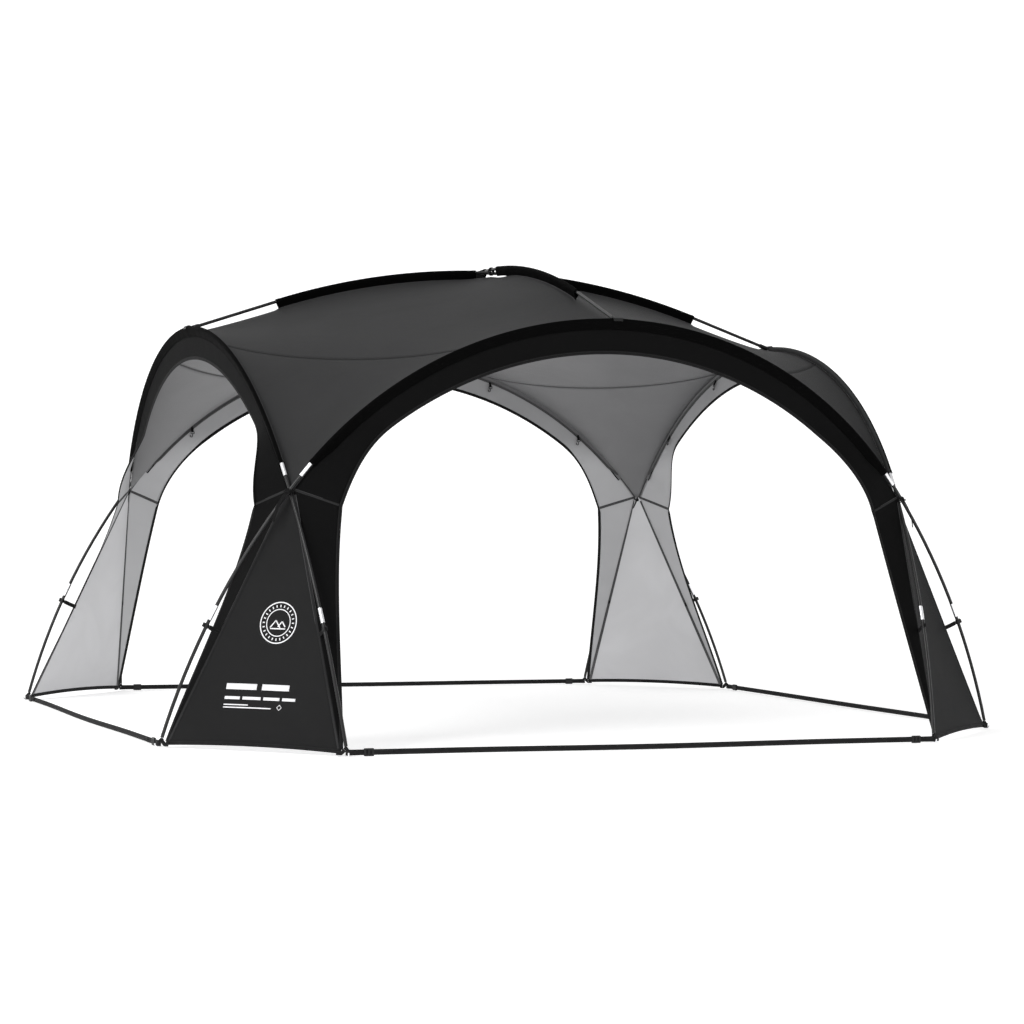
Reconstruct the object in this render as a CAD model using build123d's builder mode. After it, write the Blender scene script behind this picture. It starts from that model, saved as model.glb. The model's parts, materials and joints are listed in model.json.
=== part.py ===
from build123d import *
import os
from math import asin, cos, radians, sin, sqrt, tan

# Dome tarp shelter: a square canopy on four leaning arch poles and two roof poles.
# The origin is on the ground at the middle of the square, +Z is up and the front
# door faces -Y. All sizes are in millimetres and degrees.

# ---------------------------------------------------------------- frame sizes
foot_reach = 2107.0       # arch foot, measured along its own arch from the middle
foot_stand = 1453.0       # arch plane at the ground, measured from the centre
arch_lean = 5.2           # outward lean of every arch plane
arch_slant = 1955.0       # crown of an arch, measured up its leaning plane
crown_radius = 1889.0     # bend of an arch over the door
crown_sweep = 51.55       # angle of that bend, each side of the crown
apex_height = 2302.0      # mid height between the two roof poles where they cross
pole_radius = 8.0
pole_wall = 1.0
pole_pass = 2.6           # gap between two poles where they cross
section_gap = 1.0         # gap between pole sections inside a ferrule
ferrule_length = 70.0
ferrule_wall = 1.2
ferrule_fit = 0.15        # radial gap between ferrule and pole
hidden_joint = 560.0      # arch joint under the sleeve, measured from the crown
leg_joint = 640.0         # leg joint, measured up the pole from the foot
roof_joint = 620.0        # roof pole joint, measured out from the apex

# ---------------------------------------------------------------- fabric sizes
fabric = 3.0              # stand-in thickness of the coated cloth
seam_gap = 1.0            # space kept between two sewn panels
sleeve_radius = 15.0
sleeve_wall = 1.5
sleeve_stop = 165.0       # bare pole between a sleeve's end and the crossing
roof_sleeve_start = 88.0  # bare crossing at the apex, each way
roof_sleeve_end = 1160.0
crown_seam = 590.0        # crown panel seam on an arch, measured from its crown
door_drop = 146.0         # depth of the valance at the crown
door_radius = 1800.0      # bend of the door edge over the door
door_sweep = 38.0         # angle of that bend, each side
door_half = 1300.0        # half width of the door at the crossing
door_shoulder = 1054.0    # slant height where the door edge meets the leg wing
tip_back = 38.0           # valance tip, measured back along the arch from the crossing
corner_inset = 32.0       # leg panel tip, measured inward from the crossing poles
corner_fall = 26.0        # leg panel tip below the crossing
leg_foot_back = 62.0      # leg panel corner, measured in from the pole foot
hem_lift = 12.0           # leg panel hem above the ground
roof_sag = 40.0           # sag of the ridge under the bare roof pole
apex_sag = 0.07           # sag of a crown gore beside the apex, share of its width
seam_sag = 0.065          # sag along the crown panel's seam, share of its width
tip_sag = 0.11            # sag of a corner panel at its tip, share of its width

# -------------------------------------------------------------- hardware sizes
pin_radius = 3.5
pin_inside = 34.0         # pin shank length inside the pole
pin_below = 30.0          # pin shank length under the pole
eye_radius = 11.0
strap_width = 25.0
strap_thick = 2.0
strap_from_foot = 34.0
tail_width = 18.0
tail_clear = 9.0          # end of a webbing tail from the middle of its pin
buckle_length = 44.0
buckle_width = 34.0
buckle_height = 9.0
buckle_lift = 0.5
buckle_window = 9.0
buckle_from_foot = 96.0
slot_clear = 0.6          # space round the strap inside a buckle
clip_length = 18.0
clip_wall = 2.6
clip_clear = 0.4
clip_from_foot = 575.0    # leg clip, measured up the pole from the foot
clip_tab_back = 11.0      # end of the clip's tab, short of the leg panel's edge
tie_ring = 25.0           # cord tie round a crossing
tie_cord = 2.6
hook_places = (620.0, 1170.0)   # wall hooks, measured from the arch's middle
hook_fall = 66.0          # hook pivot below the pole
hook_stand = 14.0         # hook pivot inward from the valance
loop_outer = 3.6
loop_bore = 2.0
loop_length = 13.0
loop_tab = 26.0           # webbing tab that carries the loop
hook_pin = 1.5
hook_arm = 3.0
hook_drop = 11.0
hook_rod = 2.0
hook_bend = 6.5
socket_depth = 42.0
socket_wall = 2.6
socket_clear = 0.3
saddle_length = 46.0
saddle_wall = 3.0
saddle_clear = 0.4

# --------------------------------------------------------------- worked sizes
lean = radians(arch_lean)
crown_angle = radians(crown_sweep)
crown_length = crown_radius * crown_angle
pass_share = 1.34         # closeness of two crossing poles gained by each unit of stagger
stagger = (2 * pole_radius + pole_pass) / pass_share
edge_inset = sleeve_radius + seam_gap
strap_level = buckle_lift + buckle_width / 2
panel_step = fabric + seam_gap
sides = ("front", "right", "back", "left")
corners = ("front_left", "front_right", "back_right", "back_left")


def solve(gap, low, high):
    """Value between low and high where gap changes sign."""
    for _ in range(60):
        middle = (low + high) / 2
        if (gap(middle) > 0) == (gap(low) > 0):
            low = middle
        else:
            high = middle
    return (low + high) / 2


# ------------------------------------------------------- the line of one arch
# The leg is one arc that leaves the crown bend smoothly and ends at the foot.
knee_s = crown_radius * sin(crown_angle)
knee_t = arch_slant - crown_radius * (1 - cos(crown_angle))
leg_chord = sqrt((foot_reach - knee_s) ** 2 + knee_t ** 2)
inward_pull = knee_t * cos(crown_angle) - (foot_reach - knee_s) * sin(crown_angle)
leg_radius = leg_chord ** 2 / (2 * inward_pull)
leg_angle = 2 * asin(inward_pull / leg_chord)
arch_length = crown_length + leg_radius * leg_angle


def arch_spot(length, inset=0.0):
    """Point of the arch, or of a line inset towards its middle, in its own plane."""
    side = 1 if length >= 0 else -1
    run = abs(length)
    if run <= crown_length:
        angle = run / crown_radius
        reach = (crown_radius - inset) * sin(angle)
        slant = arch_slant - crown_radius + (crown_radius - inset) * cos(angle)
    else:
        angle = crown_angle + (run - crown_length) / leg_radius
        centre_s = knee_s - leg_radius * sin(crown_angle)
        centre_t = knee_t - leg_radius * cos(crown_angle)
        reach = centre_s + (leg_radius - inset) * sin(angle)
        slant = centre_t + (leg_radius - inset) * cos(angle)
    return (side * reach, slant)


def arch_heading(length):
    """Direction of the pole in its own plane, away from the crown."""
    run = abs(length)
    angle = run / crown_radius
    if run > crown_length:
        angle = crown_angle + (run - crown_length) / leg_radius
    side = 1 if length >= 0 else -1
    return (side * cos(angle), -sin(angle))


def arch_plane(side, depth=0.0):
    """Leaning plane of an arch: x along the door, y up the slant, z outward."""
    turn = radians(90 * side)
    outward = Vector(sin(turn), -cos(turn), 0)
    stand = foot_stand + (stagger if side % 2 == 0 else -stagger)
    normal = outward * cos(lean) - Vector(0, 0, sin(lean))
    across = Vector(cos(turn), sin(turn), 0)
    return Plane(origin=outward * stand - normal * depth, x_dir=across, z_dir=normal)


def arch_point(side, length, inset=0.0, depth=0.0):
    """Point of an arch in the shelter's frame."""
    s, t = arch_spot(length, inset)
    return arch_plane(side, depth).from_local_coords((s, t, 0))


def arch_tangent(side, length):
    """Direction of the pole in the shelter's frame, away from the crown."""
    ds, dt = arch_heading(length)
    plane = arch_plane(side)
    return (plane.x_dir * ds + plane.y_dir * dt).normalized()


def past_crossing(length):
    """How far the arch has yet to go to reach its neighbour's plane."""
    s, t = arch_spot(length)
    return foot_stand + t * sin(lean) - s


crossing = solve(past_crossing, 0.3 * arch_length, arch_length)
crossing_s, crossing_t = arch_spot(crossing)


def draw_arch(start, end, inset=0.0):
    """Arcs of the arch line between two lengths, for an open line builder."""
    stops = [start]
    stops += [knee for knee in (-crown_length, crown_length) if start < knee < end]
    stops += [end]
    for first, last in zip(stops, stops[1:]):
        middle = (first + last) / 2
        ThreePointArc(arch_spot(first, inset), arch_spot(middle, inset), arch_spot(last, inset))


# ------------------------------------------------------------ the roof's line
def roof_end(pair):
    """Height and distance of the arch crown that a roof pole runs to."""
    step = stagger if pair == 0 else -stagger
    return arch_point(pair, 0).Z, foot_stand + arch_slant * sin(lean) + step


def roof_top(pair):
    """Height of a roof pole's middle line at the apex."""
    return apex_height + (1 if pair == 0 else -1) * (pole_radius + pole_pass / 2)


def roof_angle(pair):
    """Angle through which a roof pole bends on its way to the sleeve's end."""
    crown_z, crown_out = roof_end(pair)
    drop = roof_top(pair) - crown_z
    bare = crown_out - roof_sleeve_end
    return solve(lambda a: drop - roof_sleeve_end * tan(a / 2) - bare * tan(a), 0.02, 1.2)


def roof_height(pair, out):
    """Height of a roof pole's middle line at a distance from the apex."""
    bend = roof_angle(pair)
    radius = roof_sleeve_end / sin(bend)
    if out <= roof_sleeve_end:
        return roof_top(pair) - radius + sqrt(radius ** 2 - out ** 2)
    return roof_top(pair) - radius * (1 - cos(bend)) - (out - roof_sleeve_end) * tan(bend)


def roof_plane(pair):
    """Upright plane of a roof pole: x outward from the apex, y up."""
    turn = radians(90 * pair)
    return Plane(origin=(0, 0, 0), x_dir=(sin(turn), -cos(turn), 0), z_dir=(-cos(turn), -sin(turn), 0))


def draw_roof(pair, start, end):
    """Line of a roof pole between two distances from the apex, for a line builder."""
    stops = [start]
    stops += [knee for knee in (-roof_sleeve_end, roof_sleeve_end) if start < knee < end]
    stops += [end]
    for first, last in zip(stops, stops[1:]):
        middle = (first + last) / 2
        spots = [(out, roof_height(pair, abs(out))) for out in (first, middle, last)]
        if abs(middle) < roof_sleeve_end:
            ThreePointArc(*spots)
        else:
            Line(spots[0], spots[2])


def ridge_point(side, out):
    """Top of the canopy at a distance from the apex. It clears the lower roof pole."""
    crown = arch_point(side, 0, edge_inset, panel_step)
    crown_out = roof_end(side % 2)[1] - panel_step
    turn = radians(90 * side)
    if out <= roof_sleeve_end:
        height = roof_height(1, out) - edge_inset
    else:
        share = (out - roof_sleeve_end) / (crown_out - roof_sleeve_end)
        start = roof_height(1, roof_sleeve_end) - edge_inset
        height = start + (crown.Z - start) * share - 4 * roof_sag * share * (1 - share)
    return Vector(sin(turn) * out, -cos(turn) * out, height)


# --------------------------------------------------------------- pole making
def tube(start, heading, line, outer, inner):
    """Sweep a round tube along a line inside an open part builder."""
    with BuildSketch(Plane(origin=start, z_dir=heading)) as ring:
        Circle(outer)
        Circle(inner, mode=Mode.SUBTRACT)
    sweep(sections=ring.sketch, path=line)


def arch_tube(side, start, end, outer, inner):
    """Add a tube that follows an arch between two lengths."""
    with BuildLine(arch_plane(side)) as run:
        draw_arch(start, end)
    path = run.wires()[0]
    heading = arch_tangent(side, start) * (-1 if start < 0 else 1)
    tube(arch_point(side, start), heading, path, outer, inner)


def roof_tube(pair, start, end, outer, inner):
    """Add a tube that follows a roof pole between two distances from the apex."""
    with BuildLine(roof_plane(pair)) as run:
        draw_roof(pair, start, end)
    path = run.wires()[0]
    tube(path @ 0, path % 0, path, outer, inner)


def save(part, name):
    """Label a finished piece and write it."""
    part.label = name
    export_step(part, f"parts/{name}.step")


os.makedirs("parts", exist_ok=True)

# ------------------------------------------------------------------ arch poles
pole_end = arch_length - pin_below - eye_radius - pin_radius
arch_joints = (hidden_joint, crown_length, arch_length - leg_joint)
joint_stops = [-length for length in reversed(arch_joints)] + list(arch_joints)
pole_bore = pole_radius - pole_wall

for side, name in enumerate(sides):
    stops = [-pole_end] + joint_stops + [pole_end]
    with BuildPart() as arch_pole:
        for first, last in zip(stops, stops[1:]):
            arch_tube(side, first + section_gap / 2, last - section_gap / 2, pole_radius, pole_bore)
    save(arch_pole.part, f"{name}_arch_pole")

# ------------------------------------------------------------------ roof poles
roof_reach = {}
for pair, name in enumerate(("front_back", "left_right")):
    bend = roof_angle(pair)
    roof_reach[pair] = roof_end(pair)[1] - (sleeve_radius + saddle_wall + socket_wall) / cos(bend)
    stops = [-roof_reach[pair], -roof_joint, roof_joint, roof_reach[pair]]
    with BuildPart() as roof_pole:
        for first, last in zip(stops, stops[1:]):
            roof_tube(pair, first + section_gap / 2, last - section_gap / 2, pole_radius, pole_bore)
    save(roof_pole.part, f"{name}_roof_pole")

# -------------------------------------------------------------------- ferrules
ferrule_bore = pole_radius + ferrule_fit
ferrule_outer = ferrule_bore + ferrule_wall
half_ferrule = ferrule_length / 2

with BuildPart() as pole_ferrules:
    for side in range(4):
        for stop in joint_stops:
            arch_tube(side, stop - half_ferrule, stop + half_ferrule, ferrule_outer, ferrule_bore)
    for pair in range(2):
        for stop in (-roof_joint, roof_joint):
            roof_tube(pair, stop - half_ferrule, stop + half_ferrule, ferrule_outer, ferrule_bore)
save(pole_ferrules.part, "pole_ferrules")

# --------------------------------------------------------------------- sleeves
sleeve_bore = sleeve_radius - sleeve_wall
sleeve_end = crossing - sleeve_stop

for side, name in enumerate(sides):
    with BuildPart() as arch_sleeve:
        arch_tube(side, -sleeve_end, sleeve_end, sleeve_radius, sleeve_bore)
    save(arch_sleeve.part, f"{name}_arch_sleeve")

for pair, name in enumerate(("front_back", "left_right")):
    with BuildPart() as roof_sleeve:
        roof_tube(pair, -roof_sleeve_end, -roof_sleeve_start, sleeve_radius, sleeve_bore)
        roof_tube(pair, roof_sleeve_start, roof_sleeve_end, sleeve_radius, sleeve_bore)
    save(roof_sleeve.part, f"{name}_roof_sleeve")

# ------------------------------------------------------------- canopy panels
tip = crossing - tip_back


def cloth_section(left, right, sag):
    """Upright thin strip of cloth between two points, sagging at its middle."""
    span = (right - left).length
    plane = Plane(origin=left, x_dir=right - left, z_dir=(right - left).cross(Vector(0, 0, 1)))
    with BuildSketch(plane) as section:
        with BuildLine():
            ThreePointArc((0, 0), (span / 2, -sag), (span, 0))
            Line((span, 0), (span, -fabric))
            ThreePointArc((span, -fabric), (span / 2, -sag - fabric), (0, -fabric))
            Line((0, -fabric), (0, 0))
        make_face()
    return section.sketch


def cloth_loft(stations):
    """Add a cloth panel through stations of two edge points and a share of sag."""
    sections = [cloth_section(a, b, share * (b - a).length) for a, b, share in stations]
    loft(sections=sections, ruled=True)


corner_stations = 7
for corner, name in enumerate(corners):
    stations = []
    for index in range(corner_stations):
        share = index / (corner_stations - 1)
        length = crown_seam + seam_gap + (tip - crown_seam - seam_gap) * share
        near = arch_point(corner, -length, edge_inset, panel_step)
        far = arch_point((corner - 1) % 4, length, edge_inset, panel_step)
        stations.append((far, near, seam_sag + (tip_sag - seam_sag) * share))
    with BuildPart() as corner_panel:
        cloth_loft(stations)
    save(corner_panel.part, f"{name}_corner_panel")

ridge_start = 6.0
ridge_stations = 4
with BuildPart() as crown_panel:
    for corner in range(4):
        near, far = corner, (corner - 1) % 4
        near_side = arch_plane(near).x_dir * -seam_gap
        far_side = arch_plane(far).x_dir * seam_gap
        crown_out = foot_stand + arch_slant * sin(lean)
        ridge_stops = [roof_sleeve_end * index / ridge_stations for index in range(1, ridge_stations + 1)]
        stations = []
        for out in [ridge_start] + ridge_stops + [(roof_sleeve_end + crown_out) / 2]:
            share = apex_sag * (1 - out / crown_out)
            stations.append((ridge_point(far, out) + far_side, ridge_point(near, out) + near_side, share))
        for length in (seam_gap, crown_seam / 2, crown_seam):
            a = arch_point(far, length, edge_inset, panel_step)
            b = arch_point(near, -length, edge_inset, panel_step)
            stations.append((a, b, seam_sag * length / crown_seam))
        cloth_loft(stations)
save(crown_panel.part, "crown_panel")

# ------------------------------------------------------- valances and wings
door_angle = radians(door_sweep)
bend_s = door_radius * sin(door_angle)
bend_t = arch_slant - door_drop - door_radius * (1 - cos(door_angle))
shoulder_chord = sqrt((door_half - bend_s) ** 2 + (bend_t - door_shoulder) ** 2)
shoulder_pull = (bend_t - door_shoulder) * cos(door_angle) - (door_half - bend_s) * sin(door_angle)
shoulder_radius = shoulder_chord ** 2 / (2 * shoulder_pull)
shoulder_half = asin(shoulder_pull / shoulder_chord) / 2
shoulder_centre_s = bend_s - shoulder_radius * sin(door_angle)
shoulder_centre_t = bend_t - shoulder_radius * cos(door_angle)
shoulder_mid = (
    shoulder_centre_s + shoulder_radius * sin(door_angle + 2 * shoulder_half),
    shoulder_centre_t + shoulder_radius * cos(door_angle + 2 * shoulder_half),
)


def mirrored(spot):
    """The same point on the arch's other half."""
    return (-spot[0], spot[1])


def thin_plate(points, trim):
    """Add a flat cloth plate on three or more points, trimmed back all round."""
    across = points[1] - points[0]
    up = points[2] - points[0]
    plane = Plane(origin=points[0], x_dir=across, z_dir=across.cross(up))
    flat = [plane.to_local_coords(point) for point in points]
    with BuildSketch(plane) as outline:
        Polygon(*[(point.X, point.Y) for point in flat], align=None)
        offset(amount=-trim, kind=Kind.INTERSECTION, mode=Mode.REPLACE)
    extrude(to_extrude=outline.sketch, amount=fabric / 2, both=True)


def foot_point(side, end):
    """Where an arch pole's line meets the ground."""
    return arch_point(side, end * arch_length)


def leg_peak(side, end):
    """Tip of a leg panel, inside the crossing at one end of an arch."""
    crossing_point = arch_point(side, end * crossing)
    inward = Vector(-crossing_point.X, -crossing_point.Y, 0).normalized()
    return crossing_point + inward * corner_inset - Vector(0, 0, corner_fall)


def leg_corner(side, other, end):
    """Bottom corner of a leg panel, beside the foot of one arch, towards the other arch's foot."""
    foot = foot_point(side, end)
    towards = (foot_point(other, -end) - foot).normalized()
    return foot + towards * leg_foot_back + Vector(0, 0, hem_lift)


for side, name in enumerate(sides):
    with BuildPart() as valance:
        with BuildSketch(arch_plane(side)):
            with BuildLine():
                draw_arch(-tip, tip, edge_inset)
                Line(arch_spot(tip, edge_inset), (door_half, door_shoulder))
                ThreePointArc((door_half, door_shoulder), shoulder_mid, (bend_s, bend_t))
                crown_edge = (0, arch_slant - door_drop)
                ThreePointArc((bend_s, bend_t), crown_edge, (-bend_s, bend_t))
                ThreePointArc((-bend_s, bend_t), mirrored(shoulder_mid), (-door_half, door_shoulder))
                Line((-door_half, door_shoulder), arch_spot(-tip, edge_inset))
            make_face()
        extrude(amount=fabric / 2, both=True)
        for end in (-1, 1):
            neighbour = (side + end) % 4
            shoulder = arch_plane(side).from_local_coords((end * door_half, door_shoulder))
            ground = leg_corner(neighbour, side, -end)
            thin_plate([leg_peak(side, end), shoulder, ground], panel_step)
    save(valance.part, f"{name}_valance")

# ------------------------------------------------------------------ leg panels
for corner, name in enumerate(corners):
    near = leg_corner(corner, (corner - 1) % 4, -1)
    far = leg_corner((corner - 1) % 4, corner, 1)
    with BuildPart() as leg_panel:
        thin_plate([near, far, leg_peak(corner, -1)], seam_gap)
    save(leg_panel.part, f"{name}_leg_panel")

# ------------------------------------------------------------------- foot pins
# Each pin plugs into a pole and ends under it in an open eye that takes a ground peg.
eye_top = pin_radius / cos(lean) + eye_radius * (1 - arch_heading(arch_length)[0])


def pin_frame(side, end):
    """Plane in an arch's plane at a pole's foot: x along the pole, y to the outer side."""
    ds, dt = arch_heading(end * arch_length)
    plane = arch_plane(side)
    s = end * (foot_reach - eye_top * abs(ds / dt))
    along = plane.x_dir * ds + plane.y_dir * dt
    outer = plane.x_dir * (-dt * end) + plane.y_dir * (ds * end)
    return Plane(origin=plane.from_local_coords((s, eye_top, 0)), x_dir=along, z_dir=along.cross(outer))


with BuildPart() as foot_pins:
    for side in range(4):
        for end in (-1, 1):
            with BuildLine(pin_frame(side, end)) as bent:
                Line((-pin_below - pin_inside, 0), (0, 0))
                ThreePointArc((0, 0), (eye_radius, eye_radius), (0, 2 * eye_radius))
            shank = bent.wires()[0]
            with BuildSketch(Plane(origin=shank @ 0, z_dir=shank % 0)) as round_bar:
                Circle(pin_radius)
            sweep(sections=round_bar.sketch, path=shank)
save(foot_pins.part, "foot_pins")

# ------------------------------------------------------------- ground webbing
# A strap joins the neighbouring feet on each side, on its edge just above the ground.
def strap_ends(side):
    """Feet that a side's ground strap runs between, at strap height."""
    level = Vector(0, 0, strap_level)
    return foot_point((side - 1) % 4, 1) + level, foot_point((side + 1) % 4, -1) + level


with BuildPart() as ground_straps:
    for side in range(4):
        start, stop = strap_ends(side)
        middle = (start + stop) / 2
        outward = Vector(middle.X, middle.Y, 0)
        with Locations(Plane(origin=middle, x_dir=stop - start, z_dir=outward)):
            Box((stop - start).length - 2 * strap_from_foot, strap_width, strap_thick)
save(ground_straps.part, "ground_straps")

# Each leg panel corner is tied down to its foot pin by a webbing tail.
with BuildPart() as corner_tails:
    for side in range(4):
        for end in (-1, 1):
            panel_corner = leg_corner(side, (side + end) % 4, end)
            pin = pin_frame(side, end).from_local_coords((-pin_below / 2, 0, 0))
            run = panel_corner - pin
            start = pin + run.normalized() * tail_clear
            stop = pin + run.normalized() * (run.length - panel_step - seam_gap)
            with Locations(Plane(origin=(start + stop) / 2, x_dir=run, z_dir=run.cross(Vector(0, 0, 1)))):
                Box((stop - start).length, tail_width, strap_thick)
save(corner_tails.part, "corner_tails")

# Ladder-lock buckles run along the ground straps.
slot_height = strap_thick + 2 * slot_clear
for side, name in enumerate(sides):
    start, stop = strap_ends(side)
    along = (stop - start).normalized()
    seats = {"start": start + along * buckle_from_foot, "end": stop - along * buckle_from_foot}
    for label, spot in seats.items():
        outward = along.cross(Vector(0, 0, 1))
        with BuildPart(Plane(origin=spot, x_dir=along, z_dir=outward)) as buckle:
            Box(buckle_length, buckle_width, buckle_height)
            corners_round = buckle.edges().filter_by(Axis(spot, outward))
            fillet(corners_round, radius=buckle_height / 3)
            Box(2 * buckle_length, strap_width + 2 * slot_clear, slot_height, mode=Mode.SUBTRACT)
            with Locations((-buckle_window, 0, buckle_height / 2), (buckle_window, 0, buckle_height / 2)):
                Box(buckle_window, strap_width - buckle_window / 2, buckle_height, mode=Mode.SUBTRACT)
        save(buckle.part, f"{name}_strap_buckle_{label}")

# ------------------------------------------------------------------ leg clips
# A clip ring on each leg pole carries a webbing tab sewn to the leg panel's edge.
clip_bore = pole_radius + clip_clear
clip_outer = clip_bore + clip_wall
with BuildPart() as leg_clips:
    for side in range(4):
        for end in (-1, 1):
            length = end * (arch_length - clip_from_foot)
            spot = arch_point(side, length)
            heading = arch_tangent(side, length)
            neighbour = (side + end) % 4
            panel_corner = leg_corner(side, neighbour, end)
            peak = leg_peak(side, end)
            edge = (panel_corner - peak).normalized()
            reach = peak + edge * (spot - peak).dot(edge) - spot
            reach = reach - heading * reach.dot(heading)
            tab = reach.length - clip_bore - clip_tab_back
            ring = Plane(origin=spot, x_dir=reach, z_dir=heading)
            with Locations(ring):
                Cylinder(clip_outer, clip_length)
            with Locations(ring * Location((clip_bore + tab / 2, 0, 0))):
                Box(tab, strap_thick, clip_length)
            with Locations(ring):
                Cylinder(clip_bore, 2 * clip_length, mode=Mode.SUBTRACT)
save(leg_clips.part, "leg_clips")

# -------------------------------------------------------------- crossing ties
with BuildPart() as crossing_ties:
    for corner in range(4):
        near = arch_point(corner, -crossing)
        far = arch_point((corner - 1) % 4, crossing)
        with Locations((near + far) / 2):
            Torus(tie_ring, tie_cord)
save(crossing_ties.part, "crossing_ties")

# ------------------------------------------------------------- crown sockets
# A saddle over each arch's crown holds the cup that a roof pole's end sits in.
saddle_bore = sleeve_radius + saddle_clear
saddle_outer = saddle_bore + saddle_wall
cup_bore = pole_radius + socket_clear
cup_outer = cup_bore + socket_wall
from_base = (Align.CENTER, Align.CENTER, Align.MIN)
with BuildPart() as crown_sockets:
    for side in range(4):
        pair = side % 2
        bend = roof_angle(pair)
        crown = arch_point(side, 0)
        plane = arch_plane(side)
        outward = Vector(sin(radians(90 * side)), -cos(radians(90 * side)), 0)
        descent = outward * cos(bend) - Vector(0, 0, sin(bend))
        ring_start = crown - plane.x_dir * saddle_length / 2
        saddle_end = Plane(origin=ring_start, x_dir=outward * -1, z_dir=plane.x_dir)
        with BuildSketch(saddle_end) as half_ring:
            Circle(saddle_outer)
            Circle(saddle_bore, mode=Mode.SUBTRACT)
            with Locations((0, -saddle_outer)):
                Rectangle(4 * saddle_outer, 2 * saddle_outer, mode=Mode.SUBTRACT)
        extrude(to_extrude=half_ring.sketch, amount=saddle_length)
        cup = Plane(origin=crown - descent * (saddle_bore + saddle_wall / 2), z_dir=descent * -1)
        with Locations(cup):
            Cylinder(cup_outer, socket_depth, align=from_base)
        mouth = Plane(origin=crown - descent * (saddle_outer + socket_wall / 2), z_dir=descent * -1)
        with Locations(mouth):
            Cylinder(cup_bore, socket_depth, align=from_base, mode=Mode.SUBTRACT)
save(crown_sockets.part, "crown_sockets")

# ----------------------------------------------------- wall hooks and loops
def hook_frames():
    """Name and upright plane of every wall hook's pivot: x along the door, y inward."""
    frames = []
    for side, name in enumerate(sides):
        for end, label in ((-1, "left"), (1, "right")):
            for place, where in zip(hook_places, ("upper", "lower")):
                length = solve(lambda run: arch_spot(run)[0] - place, 0, arch_length)
                slant = arch_spot(length)[1] - hook_fall
                pivot = arch_plane(side, hook_stand).from_local_coords((end * place, slant, 0))
                upright = Plane(origin=pivot, x_dir=arch_plane(side).x_dir, z_dir=(0, 0, 1))
                frames.append((f"{name}_wall_hook_{label}_{where}", upright))
    return frames


with BuildPart() as hook_loops:
    for name, frame in hook_frames():
        eye = Plane(origin=frame.origin, z_dir=frame.x_dir)
        with Locations(eye):
            Cylinder(loop_outer, loop_length)
        wall_gap = hook_stand - fabric / 2 - seam_gap
        tab_top = Vector(0, -wall_gap + strap_thick / 2 - loop_tab * tan(lean) / 2, loop_tab / 2)
        with Locations(frame * Location((0, tab_top.Y / 2, 0))):
            Box(loop_length, abs(tab_top.Y), strap_thick)
        tilted = Plane(origin=frame.from_local_coords(tab_top), x_dir=frame.x_dir, z_dir=frame.z_dir)
        with Locations(tilted * Location((0, 0, 0), (arch_lean, 0, 0))):
            Box(loop_length, strap_thick, loop_tab)
        with Locations(eye):
            Cylinder(loop_bore, 2 * loop_length, mode=Mode.SUBTRACT)
save(hook_loops.part, "hook_loops")

arm_clear = 1.5           # hook arm from the loop's end
arm_reach = loop_length / 2 + hook_arm / 2 + arm_clear
crook_low = -hook_drop - 2 * hook_bend
for name, frame in hook_frames():
    with BuildPart(frame) as wall_hook:
        with Locations(Location((0, 0, 0), (0, 90, 0))):
            Cylinder(hook_pin, 2 * arm_reach)
        with Locations((-arm_reach, 0, -hook_drop / 2), (arm_reach, 0, -hook_drop / 2)):
            Box(hook_arm, hook_arm, hook_drop + hook_arm)
        with Locations((0, 0, -hook_drop)):
            Box(2 * arm_reach, hook_arm, hook_arm)
        with BuildLine(Plane(origin=frame.origin, x_dir=frame.x_dir, z_dir=frame.y_dir * -1)) as crook:
            Line((0, -hook_drop), (0, crook_low))
            ThreePointArc((0, crook_low), (hook_bend, crook_low - hook_bend), (2 * hook_bend, crook_low))
            Line((2 * hook_bend, crook_low), (2 * hook_bend, crook_low + hook_bend))
        wire = crook.wires()[0]
        with BuildSketch(Plane(origin=wire @ 0, z_dir=wire % 0)) as round_wire:
            Circle(hook_rod)
        sweep(sections=round_wire.sketch, path=wire)
    save(wall_hook.part, name)
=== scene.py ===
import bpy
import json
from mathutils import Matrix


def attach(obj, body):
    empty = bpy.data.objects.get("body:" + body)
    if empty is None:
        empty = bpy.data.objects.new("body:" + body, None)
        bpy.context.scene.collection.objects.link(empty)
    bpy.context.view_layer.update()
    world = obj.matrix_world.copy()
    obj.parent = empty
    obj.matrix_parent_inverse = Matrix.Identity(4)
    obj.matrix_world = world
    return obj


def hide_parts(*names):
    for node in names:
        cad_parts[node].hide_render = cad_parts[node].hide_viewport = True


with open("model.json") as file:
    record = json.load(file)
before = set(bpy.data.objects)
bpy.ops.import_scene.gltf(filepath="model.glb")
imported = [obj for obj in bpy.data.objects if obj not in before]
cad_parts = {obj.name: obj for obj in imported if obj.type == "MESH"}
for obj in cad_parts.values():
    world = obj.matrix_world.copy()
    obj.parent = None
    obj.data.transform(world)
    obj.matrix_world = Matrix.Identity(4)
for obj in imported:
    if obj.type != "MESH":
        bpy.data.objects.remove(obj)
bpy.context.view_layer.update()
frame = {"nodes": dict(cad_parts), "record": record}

"""Dome tarp shelter: cloth, webbing, finishes, studio and camera, around the CAD frame."""

import json
import logging
import math
from dataclasses import dataclass, field
from enum import Enum
from typing import Callable, Sequence

import bmesh
import bpy
from mathutils import Matrix, Vector, noise

log = logging.getLogger("shelter")
UP = Vector((0, 0, 1))
SIDES = ("front", "right", "back", "left")
CORNERS = ("front_left", "front_right", "back_right", "back_left")
BODY = "shelter"


class Face(Enum):
    """Which face of a sheet a trim lies on."""

    OUTSIDE = 1
    INSIDE = -1


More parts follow.
